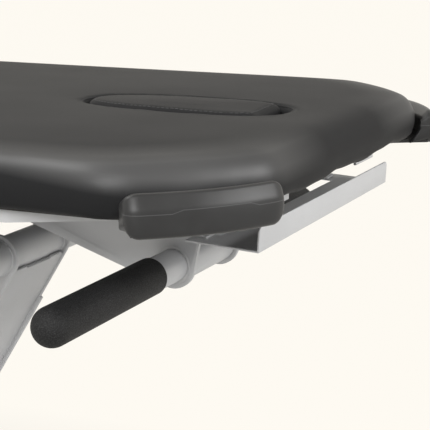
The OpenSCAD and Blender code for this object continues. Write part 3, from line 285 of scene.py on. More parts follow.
def bumperPaint():
    look = {"dark": (0.019, 0.019, 0.0193), "light": (0.025, 0.025, 0.0253), "roughness": 0.38,
            "grain": 2600, "depth": 0.00022, "step": 2.2,  # the wall above the seam stands proud
            "seam": (0.16, 0.16, 0.162), "seamWidth": 0.0005, "seamHigh": 0.0200, "seamLow": 0.0170,
            "seamFrom": 36.8, "seamTo": 47.4, "seamFade": 0.7}
    paint = Paint("satinPlastic", look["light"], look["roughness"], Specular_IOR_Level=0.32)
    x, y, z = paint.split()
    turn = paint.make("ShaderNodeMath", {"operation": "ARCTAN2"}, {
        0: abs(y) - table["cornerY"], 1: abs(x) - table["cornerX"]}) * (180 / math.pi)
    fade = look["seamFade"]
    start = paint.between(turn, look["seamFrom"] - fade, look["seamFrom"] + fade)
    end = paint.between(turn, look["seamTo"] - fade, look["seamTo"] + fade, 1.0, 0.0)
    level = z - deckZ - look["seamLow"] - start * end * (look["seamHigh"] - look["seamLow"])
    seam = paint.between(abs(level), 0.0, look["seamWidth"], 1.0, 0.0)
    above = level > 0.0
    grain = paint.cells(look["grain"])
    tone = paint.between(paint.cloud(30, 3), 0.3, 0.7)
    base = paint.tones(tone, look["dark"], look["light"])
    paint.color(paint.tones(seam * 0.5, base, look["seam"]))
    paint.rough(grain, 0.0, 1.0, less=0.03, more=0.05)
    paint.relief(above * look["step"] + grain * 0.2, look["depth"], 0.8)
    return paint.material


def silverPaint():
    look = {"dark": (0.54, 0.543, 0.55), "light": (0.61, 0.613, 0.62), "roughness": 0.46,
            "skin": 420, "flakes": 5200, "depth": 0.0001}
    paint = Paint("silverPaint", look["light"], look["roughness"], 0.2)
    skin = paint.cloud(look["skin"], 2)
    flakes = paint.cells(look["flakes"])
    tone = paint.cloud(14, 3)
    paint.color(paint.tones(paint.between(tone * 0.6 + flakes * 0.4, 0.25, 0.8), look["dark"], look["light"]))
    paint.rough(skin, 0.3, 0.7, less=0.05, more=0.05)
    paint.relief(skin, look["depth"], 0.5)
    return paint.material


def zincPaint():
    look = {"dark": (0.42, 0.42, 0.44), "light": (0.56, 0.56, 0.58), "roughness": 0.3,
            "lines": 260, "depth": 0.00005}
    paint = Paint("zincSteel", look["light"], look["roughness"], 1.0)
    lines = paint.cloud(look["lines"], 3, 0.6, paint.stretched((1, 9, 1)))
    paint.color(paint.tones(lines, look["dark"], look["light"]))
    paint.rough(lines, 0.3, 0.7, less=0.06, more=0.1)
    paint.relief(lines, look["depth"], 0.5)
    return paint.material


def foamPaint():
    look = {"dark": (0.0045, 0.0045, 0.0048), "light": (0.040, 0.040, 0.041), "roughness": 0.72,
            "cell": 900, "depth": 0.0004}
    paint = Paint("gripFoam", look["dark"], look["roughness"], Specular_IOR_Level=0.3)
    cells = paint.cells(look["cell"])
    specks = paint.cloud(look["cell"], 3, 0.7)
    paint.color(paint.tones(paint.between(specks, 0.46, 0.74), look["dark"], look["light"]))
    paint.rough(cells, 0.0, 1.0, less=0.12, more=0.1)
    paint.relief(cells * 0.5 + specks * 0.5, look["depth"], 0.9)
    return paint.material


def plyPaint():
    look = {"dark": (0.022, 0.020, 0.018), "light": (0.046, 0.042, 0.038), "roughness": 0.62,
            "grain": 30, "fibres": 300, "depth": 0.00015}
    paint = Paint("stainedPly", look["light"], look["roughness"], Specular_IOR_Level=0.3)
    grain = paint.cloud(look["grain"], 4, 0.6, paint.stretched((1, 14, 9)))
    fibres = paint.cloud(look["fibres"], 2, 0.6, paint.stretched((1, 8, 1)))
    figure = paint.between(grain * 0.75 + fibres * 0.25, 0.3, 0.7)
    paint.color(paint.tones(figure, look["dark"], look["light"]))
    paint.relief(fibres, look["depth"], 0.6)
    return paint.material


def rubberPaint():
    look = {"dark": (0.010, 0.010, 0.0105), "light": (0.022, 0.022, 0.023), "roughness": 0.68,
            "grain": 1800, "depth": 0.0001}
    paint = Paint("blackRubber", look["dark"], look["roughness"])
    dust = paint.cloud(60, 4, 0.6)
    paint.color(paint.tones(paint.between(dust, 0.35, 0.75), look["dark"], look["light"]))
    paint.relief(paint.cells(look["grain"]), look["depth"], 0.6)
    return paint.material


def housingPaint():
    look = {"dark": (0.018, 0.018, 0.019), "light": (0.028, 0.028, 0.030), "roughness": 0.5,
            "spark": 1500, "depth": 0.0001}
    paint = Paint("housingPlastic", look["light"], look["roughness"])
    spark = paint.cells(look["spark"])
    paint.color(paint.tones(paint.cloud(25, 3), look["dark"], look["light"]))
    paint.rough(spark, 0.0, 1.0, less=0.05, more=0.07)
    paint.relief(spark, look["depth"], 0.7)
    return paint.material


def bushPaint():
    look = {"dark": (0.50, 0.49, 0.45), "light": (0.62, 0.61, 0.57), "roughness": 0.45, "depth": 0.00005}
    paint = Paint("bushNylon", look["light"], look["roughness"])
    paint.color(paint.tones(paint.cloud(120, 2), look["dark"], look["light"]))
    paint.relief(paint.cloud(700, 2), look["depth"], 0.5)
    return paint.material


finishes = {
    "vinyl": vinylPaint(), "thread": threadPaint(), "plastic": bumperPaint(), "steel": silverPaint(),
    "bright": zincPaint(), "foam": foamPaint(), "ply": plyPaint(), "rubber": rubberPaint(),
    "housing": housingPaint(), "bush": bushPaint(),
}
print("paints mixed:", len(finishes))


# Ways of working

def only(piece):
    bpy.ops.object.select_all(action="DESELECT")
    piece.select_set(True)
    bpy.context.view_layer.objects.active = piece


def settle(piece):
    only(piece)
    bpy.ops.object.transform_apply(location=True, rotation=True, scale=True)


def finish(piece, paint, body, angle=32):
    settle(piece)
    piece.data.materials.clear()
    piece.data.materials.append(finishes[paint])
    bpy.ops.object.shade_smooth_by_angle(angle=math.radians(angle))
    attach(piece, body)
    return piece


def editing(piece, mode="EDGE"):
    only(piece)
    bpy.ops.object.mode_set(mode="EDIT")
    bpy.ops.mesh.select_mode(type=mode)
    bpy.ops.mesh.select_all(action="DESELECT")
    return bmesh.from_edit_mesh(piece.data)


def leave():
    bpy.ops.object.mode_set(mode="OBJECT")


def choose(piece, parts, test):  # selects the edges or faces whose points all pass
    for part in parts:
        part.select = all(test(v.co) for v in part.verts)
    bmesh.update_edit_mesh(piece.data)


merging = {"reach": 0.000005, "flat": 0.6}  # metres between doubles, degrees across a flat face


def carried(node, name):  # a merged copy of a CAD node, to be finished by hand
    piece = nodes[node].copy()
    piece.data = nodes[node].data.copy()
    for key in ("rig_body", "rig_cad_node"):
        if key in piece:
            del piece[key]
    piece.parent = None
    piece.matrix_world = Matrix.Identity(4)
    piece.name = piece.data.name = name
    bpy.context.scene.collection.objects.link(piece)
    editing(piece, "VERT")
    bpy.ops.mesh.select_all(action="SELECT")
    bpy.ops.mesh.remove_doubles(threshold=merging["reach"])
    leave()
    return piece


def flatten(piece):  # joins the triangles of each flat face
    editing(piece)
    bpy.ops.mesh.select_all(action="SELECT")
    bpy.ops.mesh.dissolve_limited(angle_limit=math.radians(merging["flat"]))
    leave()


def apply(piece, kind, **settings):
    only(piece)
    modifier = piece.modifiers.new("work", kind)
    for key, value in settings.items():
        setattr(modifier, key, value)
    bpy.ops.object.modifier_apply(modifier=modifier.name)


def islands(work):  # the points of each loose part
    left, groups = set(work.verts), []
    while left:
        stack, group = [left.pop()], []
        while stack:
            vert = stack.pop()
            group.append(vert)
            for edge in vert.link_edges:
                other = edge.other_vert(vert)
                if other in left:
                    left.remove(other)
                    stack.append(other)
        groups.append(group)
    return groups


def camel(node, end=""):
    first, *rest = node.split("_")
    return first + "".join(word.capitalize() for word in rest) + end


def circle(count):
    return [2 * math.pi * i / count for i in range(count)]


def tubed(work, rings, loop=False):  # joins rings of points, and closes both ends unless it is a loop
    count, sides = len(rings), len(rings[0])
    for k in range(count if loop else count - 1):
        a, b = rings[k], rings[(k + 1) % count]
        for i in range(sides):
            j = (i + 1) % sides
            work.faces.new((a[i], a[j], b[j], b[i]))
    if not loop:
        work.faces.new(rings[0][::-1])
        work.faces.new(rings[-1])


def built(name, work):  # an object of what was drawn, with its faces turned outwards
    bmesh.ops.recalc_face_normals(work, faces=work.faces)
    mesh = bpy.data.meshes.new(name)
    work.to_mesh(mesh)
    work.free()
    piece = bpy.data.objects.new(name, mesh)
    bpy.context.scene.collection.objects.link(piece)
    return piece


def joined(name, pieces):
    bpy.ops.object.select_all(action="DESELECT")
    for piece in pieces:
        piece.select_set(True)
    bpy.context.view_layer.objects.active = pieces[0]
    bpy.ops.object.join()
    pieces[0].name = pieces[0].data.name = name


# Steelwork, boards and small parts: each node keeps its shape and gets softened edges

softened = {  # paint: each node and its edge radius in mm
    "steel": {
        "base_pivot_plates": 0.8, "top_pivot_plates": 0.8, "front_arm": 0.8, "rear_arm": 0.8,
        "front_arm_tubes": 0.5, "rear_arm_tubes": 0.5, "drive_clevis": 0.6, "spring_bracket": 0.6,
        "seat_side_rails": 0.7, "seat_cross_rails": 0.7, "back_side_rails": 0.7, "back_cross_rails": 0.7,
        "bar_plates": 0.8, "hinge_lugs": 0.5, "hinge_clevises": 0.5, "end_tray": 0.5,
        "tray_brackets": 0.4, "grab_bar": 0.4,
    },
    "plastic": {
        "base_caps": 1.6, "frame_caps": 1.4, "pedal_up": 1.0, "pedal_down": 1.0, "release_lever": 0.9,
    },
    "housing": {
        "switch_housing": 1.2, "control_box": 1.0, "control_box_lid": 1.0, "drive_gearbox": 2.5,
        "drive_motor": 1.5,
    },
    "rubber": {
        "mains_inlet": 0.4, "foot_pads": 2.5, "rest_pads": 1.5, "spring_cylinder": 1.2, "release_cable": 0.4,
    },
    "bright": {
        "foot_stems": 0.6, "front_pivot_bolts": 0.8, "rear_pivot_bolts": 0.8, "drive_base_pin": 0.5,
        "drive_arm_pin": 0.5, "spring_pin": 0.5, "hinge_pins": 0.5, "drive_tube": 1.0, "drive_rod": 0.6,
        "spring_rod": 0.5,
    },
    "bush": {"lower_bushes": 0.4, "upper_bushes": 0.4},
    "ply": {"seat_board": 0.8, "back_board": 0.8},
}
edgeCut = {"segments": 2, "sharp": 34}  # degrees from which an edge counts as sharp


def makeSoftened():
    for paint, radii in softened.items():
        for node, radius in radii.items():
            piece = carried(node, camel(node, "Part"))
            flatten(piece)
            apply(piece, "BEVEL", width=radius * mm, segments=edgeCut["segments"], limit_method="ANGLE",
                  angle_limit=math.radians(edgeCut["sharp"]), use_clamp_overlap=True)
            finish(piece, paint, nodes[node]["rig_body"])
            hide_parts(node)


makeSoftened()
print("edges softened:", sum(len(radii) for radii in softened.values()))

tubes = {  # node: direction and corner radius in mm
    "base_rails": (0, 4.5), "base_cross_tubes": (1, 4.5),
    "frame_side_tubes": (0, 4.0), "frame_cross_tubes": (1, 4.0),
}
tubeCorner = {"segments": 4, "shortest": 0.01, "near": 0.0002}


def makeTubes():
    for node, (way, radius) in tubes.items():
        piece = carried(node, camel(node, "Part"))
        flatten(piece)
        work = editing(piece)
        for group in islands(work):
            low = [min(v.co[i] for v in group) for i in range(3)]
            high = [max(v.co[i] for v in group) for i in range(3)]
            sides = [i for i in range(3) if i != way]
            for vert in group:
                for edge in vert.link_edges:
                    a, b = edge.verts
                    runs = abs(a.co[way] - b.co[way]) > tubeCorner["shortest"]
                    outside = all(min(abs(v.co[i] - low[i]), abs(v.co[i] - high[i])) < tubeCorner["near"]
                                  for v in (a, b) for i in sides)
                    edge.select = edge.select or (runs and outside)
        bmesh.update_edit_mesh(piece.data)
        bpy.ops.mesh.bevel(offset=radius * mm, segments=tubeCorner["segments"], affect="EDGES",
                           clamp_overlap=False)
        leave()
        finish(piece, "steel", nodes[node]["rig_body"])
        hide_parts(node)


makeTubes()
print("box tubes rounded")


# Weld beads, each a rippled roll along the joint that it closes

weld = {  # radii and ripple in mm
    "radius": 2.2, "ringRadius": 1.6, "ripple": 2.6, "dip": 0.88, "tip": 0.4, "sides": 8, "ringSteps": 28,
    "sideways": 0.9,  # from here a run counts as one along Y, and takes its side from X
}


def bead(name, points, body, radius, closed=False):
    points = [Vector(p) for p in points]
    if closed:
        points.append(points[0])
    path = []
    for a, b in zip(points, points[1:]):
        count = max(2, int((b - a).length / (weld["ripple"] * mm / 2)))
        path += [a.lerp(b, i / count) for i in range(count)]
    path.append(points[-1])
    work = bmesh.new()
    rings = []
    for k, here in enumerate(path):
        ahead = (path[min(k + 1, len(path) - 1)] - path[max(k - 1, 0)]).normalized()
        side = ahead.orthogonal().normalized() if abs(ahead.y) < weld["sideways"] else Vector((1, 0, 0))
        side = (side - ahead * side.dot(ahead)).normalized()
        up = ahead.cross(side)
        size = radius * mm * (1.0 if k % 2 else weld["dip"])
        if not closed and k in (0, len(path) - 1):
            size *= weld["tip"]
        rings.append([work.verts.new(here + size * (math.cos(t) * side + math.sin(t) * up))
                      for t in circle(weld["sides"])])
    tubed(work, rings)
    return finish(built(name, work), "steel", body, 60)


lift = {
    "angle": 58, "length": 0.730, "lowZ": 0.110, "frontX": 0.201159, "rearX": -0.498841,
    "tube": 0.0212, "plateIn": 0.0555, "plateOut": 0.0605,
    "webEnd": 0.006, "webZ": 0.0253, "webSink": (0.001, 0.0018), "webY": (0.052, 0.026),
}


def armWelds():
    turn = math.radians(lift["angle"])
    along = Vector((math.cos(turn), 0, math.sin(turn)))
    over = Vector((-math.sin(turn), 0, math.cos(turn)))
    inset = lift["webEnd"] - lift["webSink"][0]
    rise = lift["webZ"] - lift["webSink"][1]
    for label, side in (("front", -1), ("rear", 1)):
        body = label + "_arm"
        base = Vector((lift[label + "X"], 0, lift["lowZ"]))
        beads = []
        for s in (0, lift["length"]):
            centre = base + along * s
            ring = [centre + lift["tube"] * (math.cos(t) * along + math.sin(t) * over)
                    for t in circle(weld["ringSteps"])]
            for y in (lift["plateOut"], lift["plateIn"]):
                for sign in (-1, 1):
                    shift = Vector((0, sign * y, 0))
                    beads.append(bead("ringBead", [p + shift for p in ring], body, weld["ringRadius"], True))
            inward = 1 if s == 0 else -1
            edge = centre + along * inward * inset + over * side * rise
            for sign in (-1, 1):
                ends = [edge + Vector((0, sign * y, 0)) for y in lift["webY"]]
                beads.append(bead("webBead", ends, body, weld["radius"]))
        joined(camel(body + "_welds"), beads)


armWelds()
print("welds laid")


# Bumpers: one moulded profile swept round the corner, with rounded ends

bumper = {
    "radius": 0.4085, "lip": 0.381, "inside": 0.375, "wall": 0.004, "from": 31.5, "to": 54.0, "steps": 44,
    "crest": 0.0245, "rise": 0.0345, "drop": 0.005, "round": 0.006, "slope": 0.0065, "ridge": 0.006,
    "sink": 0.0075, "belly": (0.0004, 0.010),
    "crestRound": [(0.0, -0.0050), (-0.0006, -0.0020), (-0.0020, 0.0006)],  # points about each corner
    "riseRound": [(0.0016, -0.0022), (0.0004, -0.0006), (-0.0010, 0.0)],
    "ridgeRound": [(0.0015, 0.0), (-0.0012, -0.0006)],
    "lipRound": [(0.0015, 0.0008), (0.0, -0.0006)],
    "hug": 0.0035, "under": 0.026, "bulge": 0.024, "closedLow": -0.0044,  # the closed end against the cover
    "end": 0.014, "core": (0.390, 0.015), "foot": 0.380, "footDraw": 0.75, "draw": 0.6,  # the rounded ends
    "pinch": 0.5, "pinchFrom": 0.366, "pinchOver": 0.02, "lowPinch": 1.7,
    "taper": 0.011, "taperFrom": 46, "taperOver": 14.0, "taperPower": 1.6,
    "flangeIn": 0.330, "flangeOut": 1.9, "flangeLow": -0.0043, "flangeHigh": -0.0003, "flangeTrim": 1.0,
    "flangeSteps": 24,
}


def thinned(x, turn):  # the outer part draws in towards the middle of the table's end
    b = bumper
    top = b["radius"] - b["slope"]
    thin = b["taper"] * max(0.0, (b["taperFrom"] - turn) / b["taperOver"]) ** b["taperPower"]
    return x - thin * min(1.0, max(0.0, (x - b["lip"]) / (top - b["lip"])))


def bumperProfile():  # the outside, the hollow inside, and the inside of a closed end
    b = bumper
    r, lip, w, c = b["radius"], b["lip"], b["wall"], b["round"]
    crest, rise, top = b["crest"], b["rise"], r - b["slope"]
    dish = rise - b["sink"]
    outer = [(r - 2 * c, -b["drop"])]
    outer += [(r - c + c * math.sin(t), -b["drop"] + c - c * math.cos(t))
              for t in [math.radians(a) for a in (0, 22, 45, 68, 90)]]
    outer.append((r + b["belly"][0], b["belly"][1]))
    for x, z, corner in ((r, crest, "crest"), (top, rise, "rise"), (top - b["ridge"], rise, "ridge"),
                         (lip, dish, "lip")):
        outer += [(x + out, z + up) for out, up in b[corner + "Round"]]
    inner = [(lip, dish - w), (top - b["ridge"], rise - w), (top - w / 2, rise - w),
             (r - w - c / 4, crest - c / 4), (r - w, crest - w), (r - w - c / 3, w - b["drop"]),
             (r - 2 * c, w - b["drop"])]
    closed = [(b["inside"] - b["under"] * (1 - math.cos(t)) + b["hug"] * math.cos(t),
               b["bulge"] * (1 - math.sin(t)) - b["hug"] * math.sin(t))
              for t in [math.radians(a) for a in (0, 12, 24, 36, 48, 60)]]
    closed.append((b["inside"] - b["under"] / 2, b["closedLow"]))
    return outer, inner, closed


def bumperRings():
    b = bumper
    outer, inner, closed = bumperProfile()
    r = b["radius"]
    coreX, coreZ = b["core"]
    span = math.radians(b["to"] - b["from"]) * r
    ends = [b["end"] * (1 - math.cos(math.radians(a))) for a in range(0, 91, 10)]
    middle = list(np.linspace(b["end"], span / 2, b["steps"] // 2))
    places = sorted({round(v, 6) for v in ends + [b["wall"], b["wall"] + 0.0002] + middle})
    places += [span - v for v in reversed(places[:-1])]
    rings = []
    for s in places:
        turn = b["from"] + math.degrees(s / r)
        near = min(s, span - s)
        cut = 1 - math.sqrt(max(0.0, 1 - (1 - min(near, b["end"]) / b["end"]) ** 2))
        loop = []
        for x, z in outer + (closed if near <= b["wall"] else inner):
            low = z < coreZ
            if low and x < b["foot"]:
                x += (b["foot"] - x) * b["footDraw"] * cut
            out = min(1.0, max(0.0, (x - b["pinchFrom"]) / b["pinchOver"])) * (b["lowPinch"] if low else 1.0)
            x = thinned(x, turn)
            if x > coreX:
                x = coreX + (x - coreX) * (1 - b["draw"] * cut)
            loop.append((x, z + (coreZ - z) * b["pinch"] * cut * out))
        rings.append((math.radians(turn), loop))
    return rings


def flangeRings():
    b = bumper
    rings = []
    for turn in np.linspace(b["from"] + b["flangeTrim"], b["to"] - b["flangeTrim"], b["flangeSteps"]):
        brim = thinned(b["radius"] - b["flangeOut"] * b["round"], turn)
        rings.append((math.radians(turn), [
            (b["flangeIn"], b["flangeLow"]), (brim, b["flangeLow"]),
            (brim, b["flangeHigh"]), (b["flangeIn"], b["flangeHigh"])]))
    return rings


def sweep(work, rings, signX, signY):
    made = []
    for turn, loop in rings:
        made.append([work.verts.new((signX * (table["cornerX"] + reach * math.cos(turn)),
                                     signY * (table["cornerY"] + reach * math.sin(turn)), deckZ + z))
                     for reach, z in loop])
    tubed(work, made)


def makeBumpers():
    shell, flange = bumperRings(), flangeRings()
    for end, body, signX in (("head", "back_section", 1), ("foot", "top_frame", -1)):
        for hand, signY in (("left", 1), ("right", -1)):
            node = "bumper_" + end + "_" + hand
            work = bmesh.new()
            sweep(work, shell, signX, signY)
            sweep(work, flange, signX, signY)
            piece = finish(built(camel(node, "Part"), work), "plastic", body, 38)
            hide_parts(node)


makeBumpers()
print("bumpers swept")


# Foam grips, turned from a plain roll

grip = {
    "radius": 0.020, "length": 0.220, "outer": 0.3335, "bore": 0.01805, "deep": 0.205, "sides": 72,
    "nose": 0.985, "noseSteps": 14, "rim": 0.0016, "rimSteps": 4, "near": 1e-5,
}


def makeGrips():
    g = grip
    for label, sign in (("Left", 1), ("Right", -1)):
        middle = sign * (g["outer"] - g["length"] / 2)
        outer = middle + sign * g["length"] / 2
        inner = middle - sign * g["length"] / 2
        bpy.ops.object.select_all(action="DESELECT")
        bpy.ops.mesh.primitive_cylinder_add(
            vertices=g["sides"], radius=g["radius"], depth=g["length"],
            location=(table["barX"], middle, table["barZ"]), rotation=(math.pi / 2, 0, 0))
        piece = bpy.context.object
        piece.name = piece.data.name = "foamGrip" + label
        settle(piece)
        work = editing(piece)  # the outer end is rounded
        choose(piece, work.edges, lambda p: abs(p.y - outer) < g["near"])
        bpy.ops.mesh.bevel(offset=g["radius"] * g["nose"], segments=g["noseSteps"], affect="EDGES",
                           clamp_overlap=False)
        leave()
        work = editing(piece, "FACE")  # the inner end is bored for the bar
        choose(piece, work.faces, lambda p: abs(p.y - inner) < g["near"])
        bpy.ops.mesh.inset(thickness=g["radius"] - g["bore"])
        bpy.ops.mesh.extrude_region_move(TRANSFORM_OT_translate={"value": (0, sign * g["deep"], 0)})
        leave()
        work = editing(piece)  # and its rim is eased
        choose(piece, work.edges, lambda p: abs(p.y - inner) < g["near"] and abs(
            math.hypot(p.x - table["barX"], p.z - table["barZ"]) - g["radius"]) < g["near"])
        bpy.ops.mesh.bevel(offset=g["rim"], segments=g["rimSteps"], affect="EDGES")
        leave()
        finish(piece, "foam", "back_section", 50)
        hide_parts("grip_" + label.lower())


makeGrips()
print("grips turned")


# Upholstery

padding = {
    "voxel": {"seat_cushion": 0.0075, "back_cushion": 0.0050}, "smoothing": 24,
    "slim": 0.0022, "reach": 0.0040, "leastRise": 0.0003, "evening": 160,
    "frames": 16, "pressure": 4.0, "quality": 4, "mass": 0.4, "stretch": 25, "bend": 8,
    "pinned": 0.012, "slotKeep": 0.010, "jointKeep": 0.016, "easing": 12, "slotNear": (0.2, 0.13),
}
pucker = {
    "depth": 0.0024, "pitch": 0.165, "at": 0.052, "waves": (0.75, 0.25), "finer": 2.6, "shift": 1.0,
    "level": 0.003, "high": 0.024, "joint": 0.02, "lift": 0.2, "sideShare": 0.4,
    "endFrom": 0.05, "rimSide": 0.045, "rimEnd": 0.048, "rimEvening": 3,
}


def slotRim(grow, count=120, notch=None):  # outline of the face slot, moved out by grow
    points = []
    power = 2 / table["slotPower"]
    for a in circle(count):
        c, s = math.cos(a), math.sin(a)
        x = table["slotX"] + (table["slotLength"] / 2 + grow) * math.copysign(abs(c) ** power, c)
        y = (table["slotWidth"] / 2 + grow) * (1 + table["slotFlare"] * c) * math.copysign(abs(s) ** power, s)
        points.append((min(x, notch) if notch else x, y))
    return points


def awayFromSlot(points):  # distance from the slot's outline, in plan
    rim = np.array(slotRim(0))
    away = np.full(len(points), 1.0)
    nearX, nearY = padding["slotNear"]
    close = (np.abs(points[:, 0] - table["slotX"]) < nearX) & (np.abs(points[:, 1]) < nearY)
    away[close] = np.sqrt(((points[close][:, None, :2] - rim[None]) ** 2).sum(2)).min(1)
    return away


def meshPoints(piece, what="co"):
    flat = np.zeros(len(piece.data.vertices) * 3, np.float32)
    piece.data.vertices.foreach_get(what, flat)
    return flat.reshape(-1, 3).astype(float)


def setPoints(piece, points):
    piece.data.vertices.foreach_set("co", points.astype(np.float32).ravel())
    piece.data.update()


def spread(piece, values, rounds):  # evens a value out over the mesh
    pairs = np.zeros(len(piece.data.edges) * 2, np.int64)
    piece.data.edges.foreach_get("vertices", pairs)
    a, b = pairs[0::2], pairs[1::2]
    count = np.bincount(pairs, minlength=len(values)).astype(float)
    for _ in range(rounds):
        near = np.bincount(a, values[b], len(values)) + np.bincount(b, values[a], len(values))
        values = 0.5 * values + 0.5 * near / np.maximum(count, 1)
    return values


def swell(piece, free):  # how far the filled cover stands out at each point
    before, out = meshPoints(piece), meshPoints(piece, "normal")
    group = piece.vertex_groups.new(name="held")
    group.add(np.nonzero(~free)[0].tolist(), 1.0, "REPLACE")
    only(piece)
    cloth = piece.modifiers.new("cover", "CLOTH")
    cloth.settings.quality = padding["quality"]
    cloth.settings.mass = padding["mass"]
    cloth.settings.tension_stiffness = padding["stretch"]
    cloth.settings.compression_stiffness = padding["stretch"]
    cloth.settings.bending_stiffness = padding["bend"]
    cloth.settings.use_pressure = True
    cloth.settings.uniform_pressure_force = padding["pressure"]
    cloth.settings.effector_weights.gravity = 0
    cloth.settings.vertex_group_mass = "held"
    cloth.collision_settings.use_collision = False
    cloth.point_cache.frame_start = 1
    cloth.point_cache.frame_end = padding["frames"]
    for step in range(1, padding["frames"] + 1):
        bpy.context.scene.frame_set(step)
    only(piece)
    bpy.ops.object.modifier_apply(modifier=cloth.name)
    bpy.context.scene.frame_set(1)
    piece.vertex_groups.clear()
    rise = ((meshPoints(piece) - before) * out).sum(1)
    setPoints(piece, before)
    return spread(piece, np.clip(rise, -padding["reach"], padding["reach"]), padding["evening"])


def puckered(piece, points, level, joint, side):  # how far the cover is pulled down in soft puckers
    p = pucker
    end = side * points[:, 0] > table["headX"] - p["endFrom"]
    along = np.where(end, points[:, 1], points[:, 0])
    pull = p["waves"][0] * np.cos(2 * math.pi * (along - p["at"]) / p["pitch"])
    pull += p["waves"][1] * np.cos(2 * math.pi * along / p["pitch"] * p["finer"] + p["shift"])
    low = np.clip(1 - np.abs(level - p["level"]) / p["high"], 0, 1)
    low = low * (level > -p["level"]) * (joint > p["joint"])
    edge = ((np.abs(points[:, 1]) > table["halfWidth"] - p["rimSide"])
            | (side * points[:, 0] > table["headX"] - p["rimEnd"]))
    rim = spread(piece, edge.astype(float), p["rimEvening"])
    return p["depth"] * low * rim * (pull - p["lift"]) * np.where(end, 1.0, p["sideShare"])


def makeCushion(node, name, body, side):
    piece = carried(node, name)
    apply(piece, "REMESH", mode="VOXEL", voxel_size=padding["voxel"][node])
    apply(piece, "SMOOTH", factor=0.5, iterations=padding["smoothing"])
    points, out = meshPoints(piece), meshPoints(piece, "normal")
    level = points[:, 2] - deckZ
    away = awayFromSlot(points) if side > 0 else np.full(len(points), 1.0)
    joint = side * (points[:, 0] - table["hingeX"])
    free = (level > padding["pinned"]) & (away > padding["slotKeep"]) & (joint > padding["jointKeep"])
    ease = spread(piece, free.astype(float), padding["easing"]) * free
    points -= out * (padding["slim"] * ease)[:, None]
    setPoints(piece, points)
    rise = swell(piece, free)
    typical = np.median(rise[free])
    print(name, "stands out by", round(float(typical) / mm, 2), "mm")
    rise = rise * padding["slim"] / max(typical, padding["leastRise"])
    points += out * (np.clip(rise, 0, padding["reach"]) * ease)[:, None]
    points[:, 2] -= puckered(piece, points, level, joint, side)
    setPoints(piece, points)
    finish(piece, "vinyl", body, 70)
    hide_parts(node)
    return piece


makeCushion("seat_cushion", "seatCushionCover", "top_frame", -1)
backCover = makeCushion("back_cushion", "backCushionCover", "back_section", 1)
print("cushions filled")


# Infill plug of the face slot, with its stitching and the welt round the slot

plug = {
    "voxel": 0.003, "smoothing": 5,
    "sink": 0.0022, "sinkZ": (0.045, 0.01), "sinkX": (0.02, 0.10), "sinkY": (0.6, 0.05),
    "inset": 0.0078, "seam": 0.0025, "notch": 0.020, "stitch": 0.0034, "gap": 0.0022,
    "thread": 0.00045, "threadSides": 6, "stitchShares": (-1, -0.6, 0, 0.6, 1), "bury": 0.0001,
    "welt": 0.0013, "weltOut": 0.0035, "weltPoints": 96, "weltSides": 10, "weltEvening": 4,
    "upward": 0.3, "nearest": 4,
}


def surfaceAt(piece, spots):  # height of a cover's top over each spot
    points = meshPoints(piece)
    points = points[meshPoints(piece, "normal")[:, 2] > plug["upward"]]
    heights = []
    for x, y in spots:
        away = (points[:, 0] - x) ** 2 + (points[:, 1] - y) ** 2
        nearest = np.argsort(away)[:plug["nearest"]]
        heights.append(float(points[nearest, 2].mean()))
    return heights


def rolled(name, path, radius, paint, body, sides, closed=True):  # a thin round thread or welt
    work = bmesh.new()
    rings, count = [], len(path)
    for k, here in enumerate(path):
        ahead = path[(k + 1) % count if closed else min(k + 1, count - 1)]
        behind = path[(k - 1) % count if closed else max(k - 1, 0)]
        along = (Vector(ahead) - Vector(behind)).normalized()
        across = along.cross(Vector((0, 0, 1))).normalized()
        up = across.cross(along)
        rings.append([work.verts.new(Vector(here) + radius * (math.cos(t) * across + math.sin(t) * up))
                      for t in circle(sides)])
    tubed(work, rings, closed)
    return finish(built(name, work), paint, body, 60)


def evenly(path, step):  # points at even steps along a closed path
    path = [Vector((*q, 0)) for q in path]
    path.append(path[0])
    spots, carry = [], 0.0
    for a, b in zip(path, path[1:]):
        length = (b - a).length
        at = carry
        while at < length:
            spots.append(a.lerp(b, at / length))
            at += step
        carry = at - length
    return spots


def makePlug():
    piece = carried("face_plug", "facePlugCover")
    apply(piece, "REMESH", mode="VOXEL", voxel_size=plug["voxel"])
    apply(piece, "SMOOTH", factor=0.5, iterations=plug["smoothing"])
    points = meshPoints(piece)
    # it lies a little deeper towards the head end, on the near side
    high = np.clip((points[:, 2] - deckZ - plug["sinkZ"][0]) / plug["sinkZ"][1], 0, 1)
    along = np.clip((points[:, 0] - table["slotX"] + plug["sinkX"][0]) / plug["sinkX"][1], 0, 1)
    across = np.clip(plug["sinkY"][0] - points[:, 1] / plug["sinkY"][1], 0, 1)
    points[:, 2] -= plug["sink"] * high * along * across
    setPoints(piece, points)
    finish(piece, "vinyl", "face_plug", 70)
    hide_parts("face_plug")
    return piece


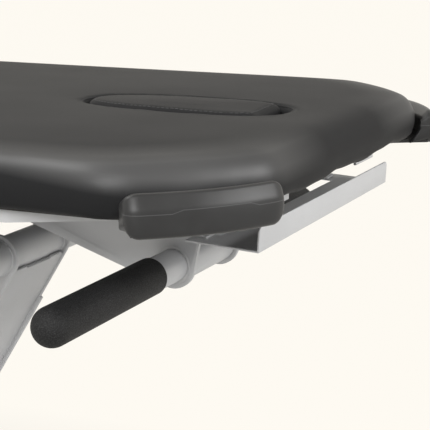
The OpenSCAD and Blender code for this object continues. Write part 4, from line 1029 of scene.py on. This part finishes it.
def stitchPlug(cover):
    tip = table["slotX"] + table["slotLength"] / 2 - plug["notch"]
    seam = slotRim(-plug["seam"] - plug["inset"], notch=tip - plug["inset"])
    spots = evenly(seam, plug["stitch"] + plug["gap"])
    heights = surfaceAt(cover, [(q.x, q.y) for q in spots])
    raised = plug["thread"] * 0.5
    shares = plug["stitchShares"]
    threads = []
    for k, (spot, z) in enumerate(zip(spots, heights)):
        ahead = (spots[(k + 1) % len(spots)] - spot).normalized() * plug["stitch"] / 2
        path = [spot + ahead * t for t in shares]
        path = [(q.x, q.y, z + raised * (1 - t * t) - plug["bury"]) for q, t in zip(path, shares)]
        threads.append(rolled("plugStitch", path, plug["thread"], "thread", "face_plug",
                              plug["threadSides"], False))
    joined("plugStitches", threads)


def weltSlot():
    rim = slotRim(plug["weltOut"], plug["weltPoints"])
    heights = surfaceAt(backCover, rim)
    near, count = plug["weltEvening"], len(heights)
    heights = [sum(heights[(k + d) % count] for d in range(-near, near + 1)) / (2 * near + 1)
               for k in range(count)]
    path = [(x, y, z) for (x, y), z in zip(rim, heights)]
    rolled("slotWelt", path, plug["welt"], "vinyl", "back_section", plug["weltSides"])


stitchPlug(makePlug())
weltSlot()
print("plug filled")

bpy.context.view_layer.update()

ground = {
    "size": 60.0, "tone": (0.50, 0.50, 0.496), "roughness": 0.9,
    "near": 0.80, "far": 0.985, "from": 0.85, "to": 1.25, "oval": 0.4,  # how it fades into the paper
}


def layFloor():
    bpy.ops.object.select_all(action="DESELECT")
    bpy.ops.mesh.primitive_plane_add(size=ground["size"], location=(0, 0, 0))
    floor = bpy.context.object
    floor.name = floor.data.name = "paleFloor"
    paint = Paint("palePaper", ground["tone"], ground["roughness"])
    tree = paint.tree
    glow = tree.nodes.new("ShaderNodeEmission")
    glow.inputs["Color"].default_value = (*studio["paper"], 1)
    x, y = paint.split()[:2]
    away = paint.make("ShaderNodeMath", {"operation": "POWER"}, {0: x * x * ground["oval"] + y * y, 1: 0.5})
    share = paint.between(away, ground["from"], ground["to"], ground["near"], ground["far"])
    mix = tree.nodes.new("ShaderNodeMixShader")
    tree.links.new((share * Signal(paint, seenWhite(tree))).socket, mix.inputs["Fac"])
    tree.links.new(paint.shader.outputs[0], mix.inputs[1])
    tree.links.new(glow.outputs[0], mix.inputs[2])
    tree.links.new(mix.outputs[0], tree.nodes["Material Output"].inputs["Surface"])
    floor.data.materials.append(paint.material)


layFloor()
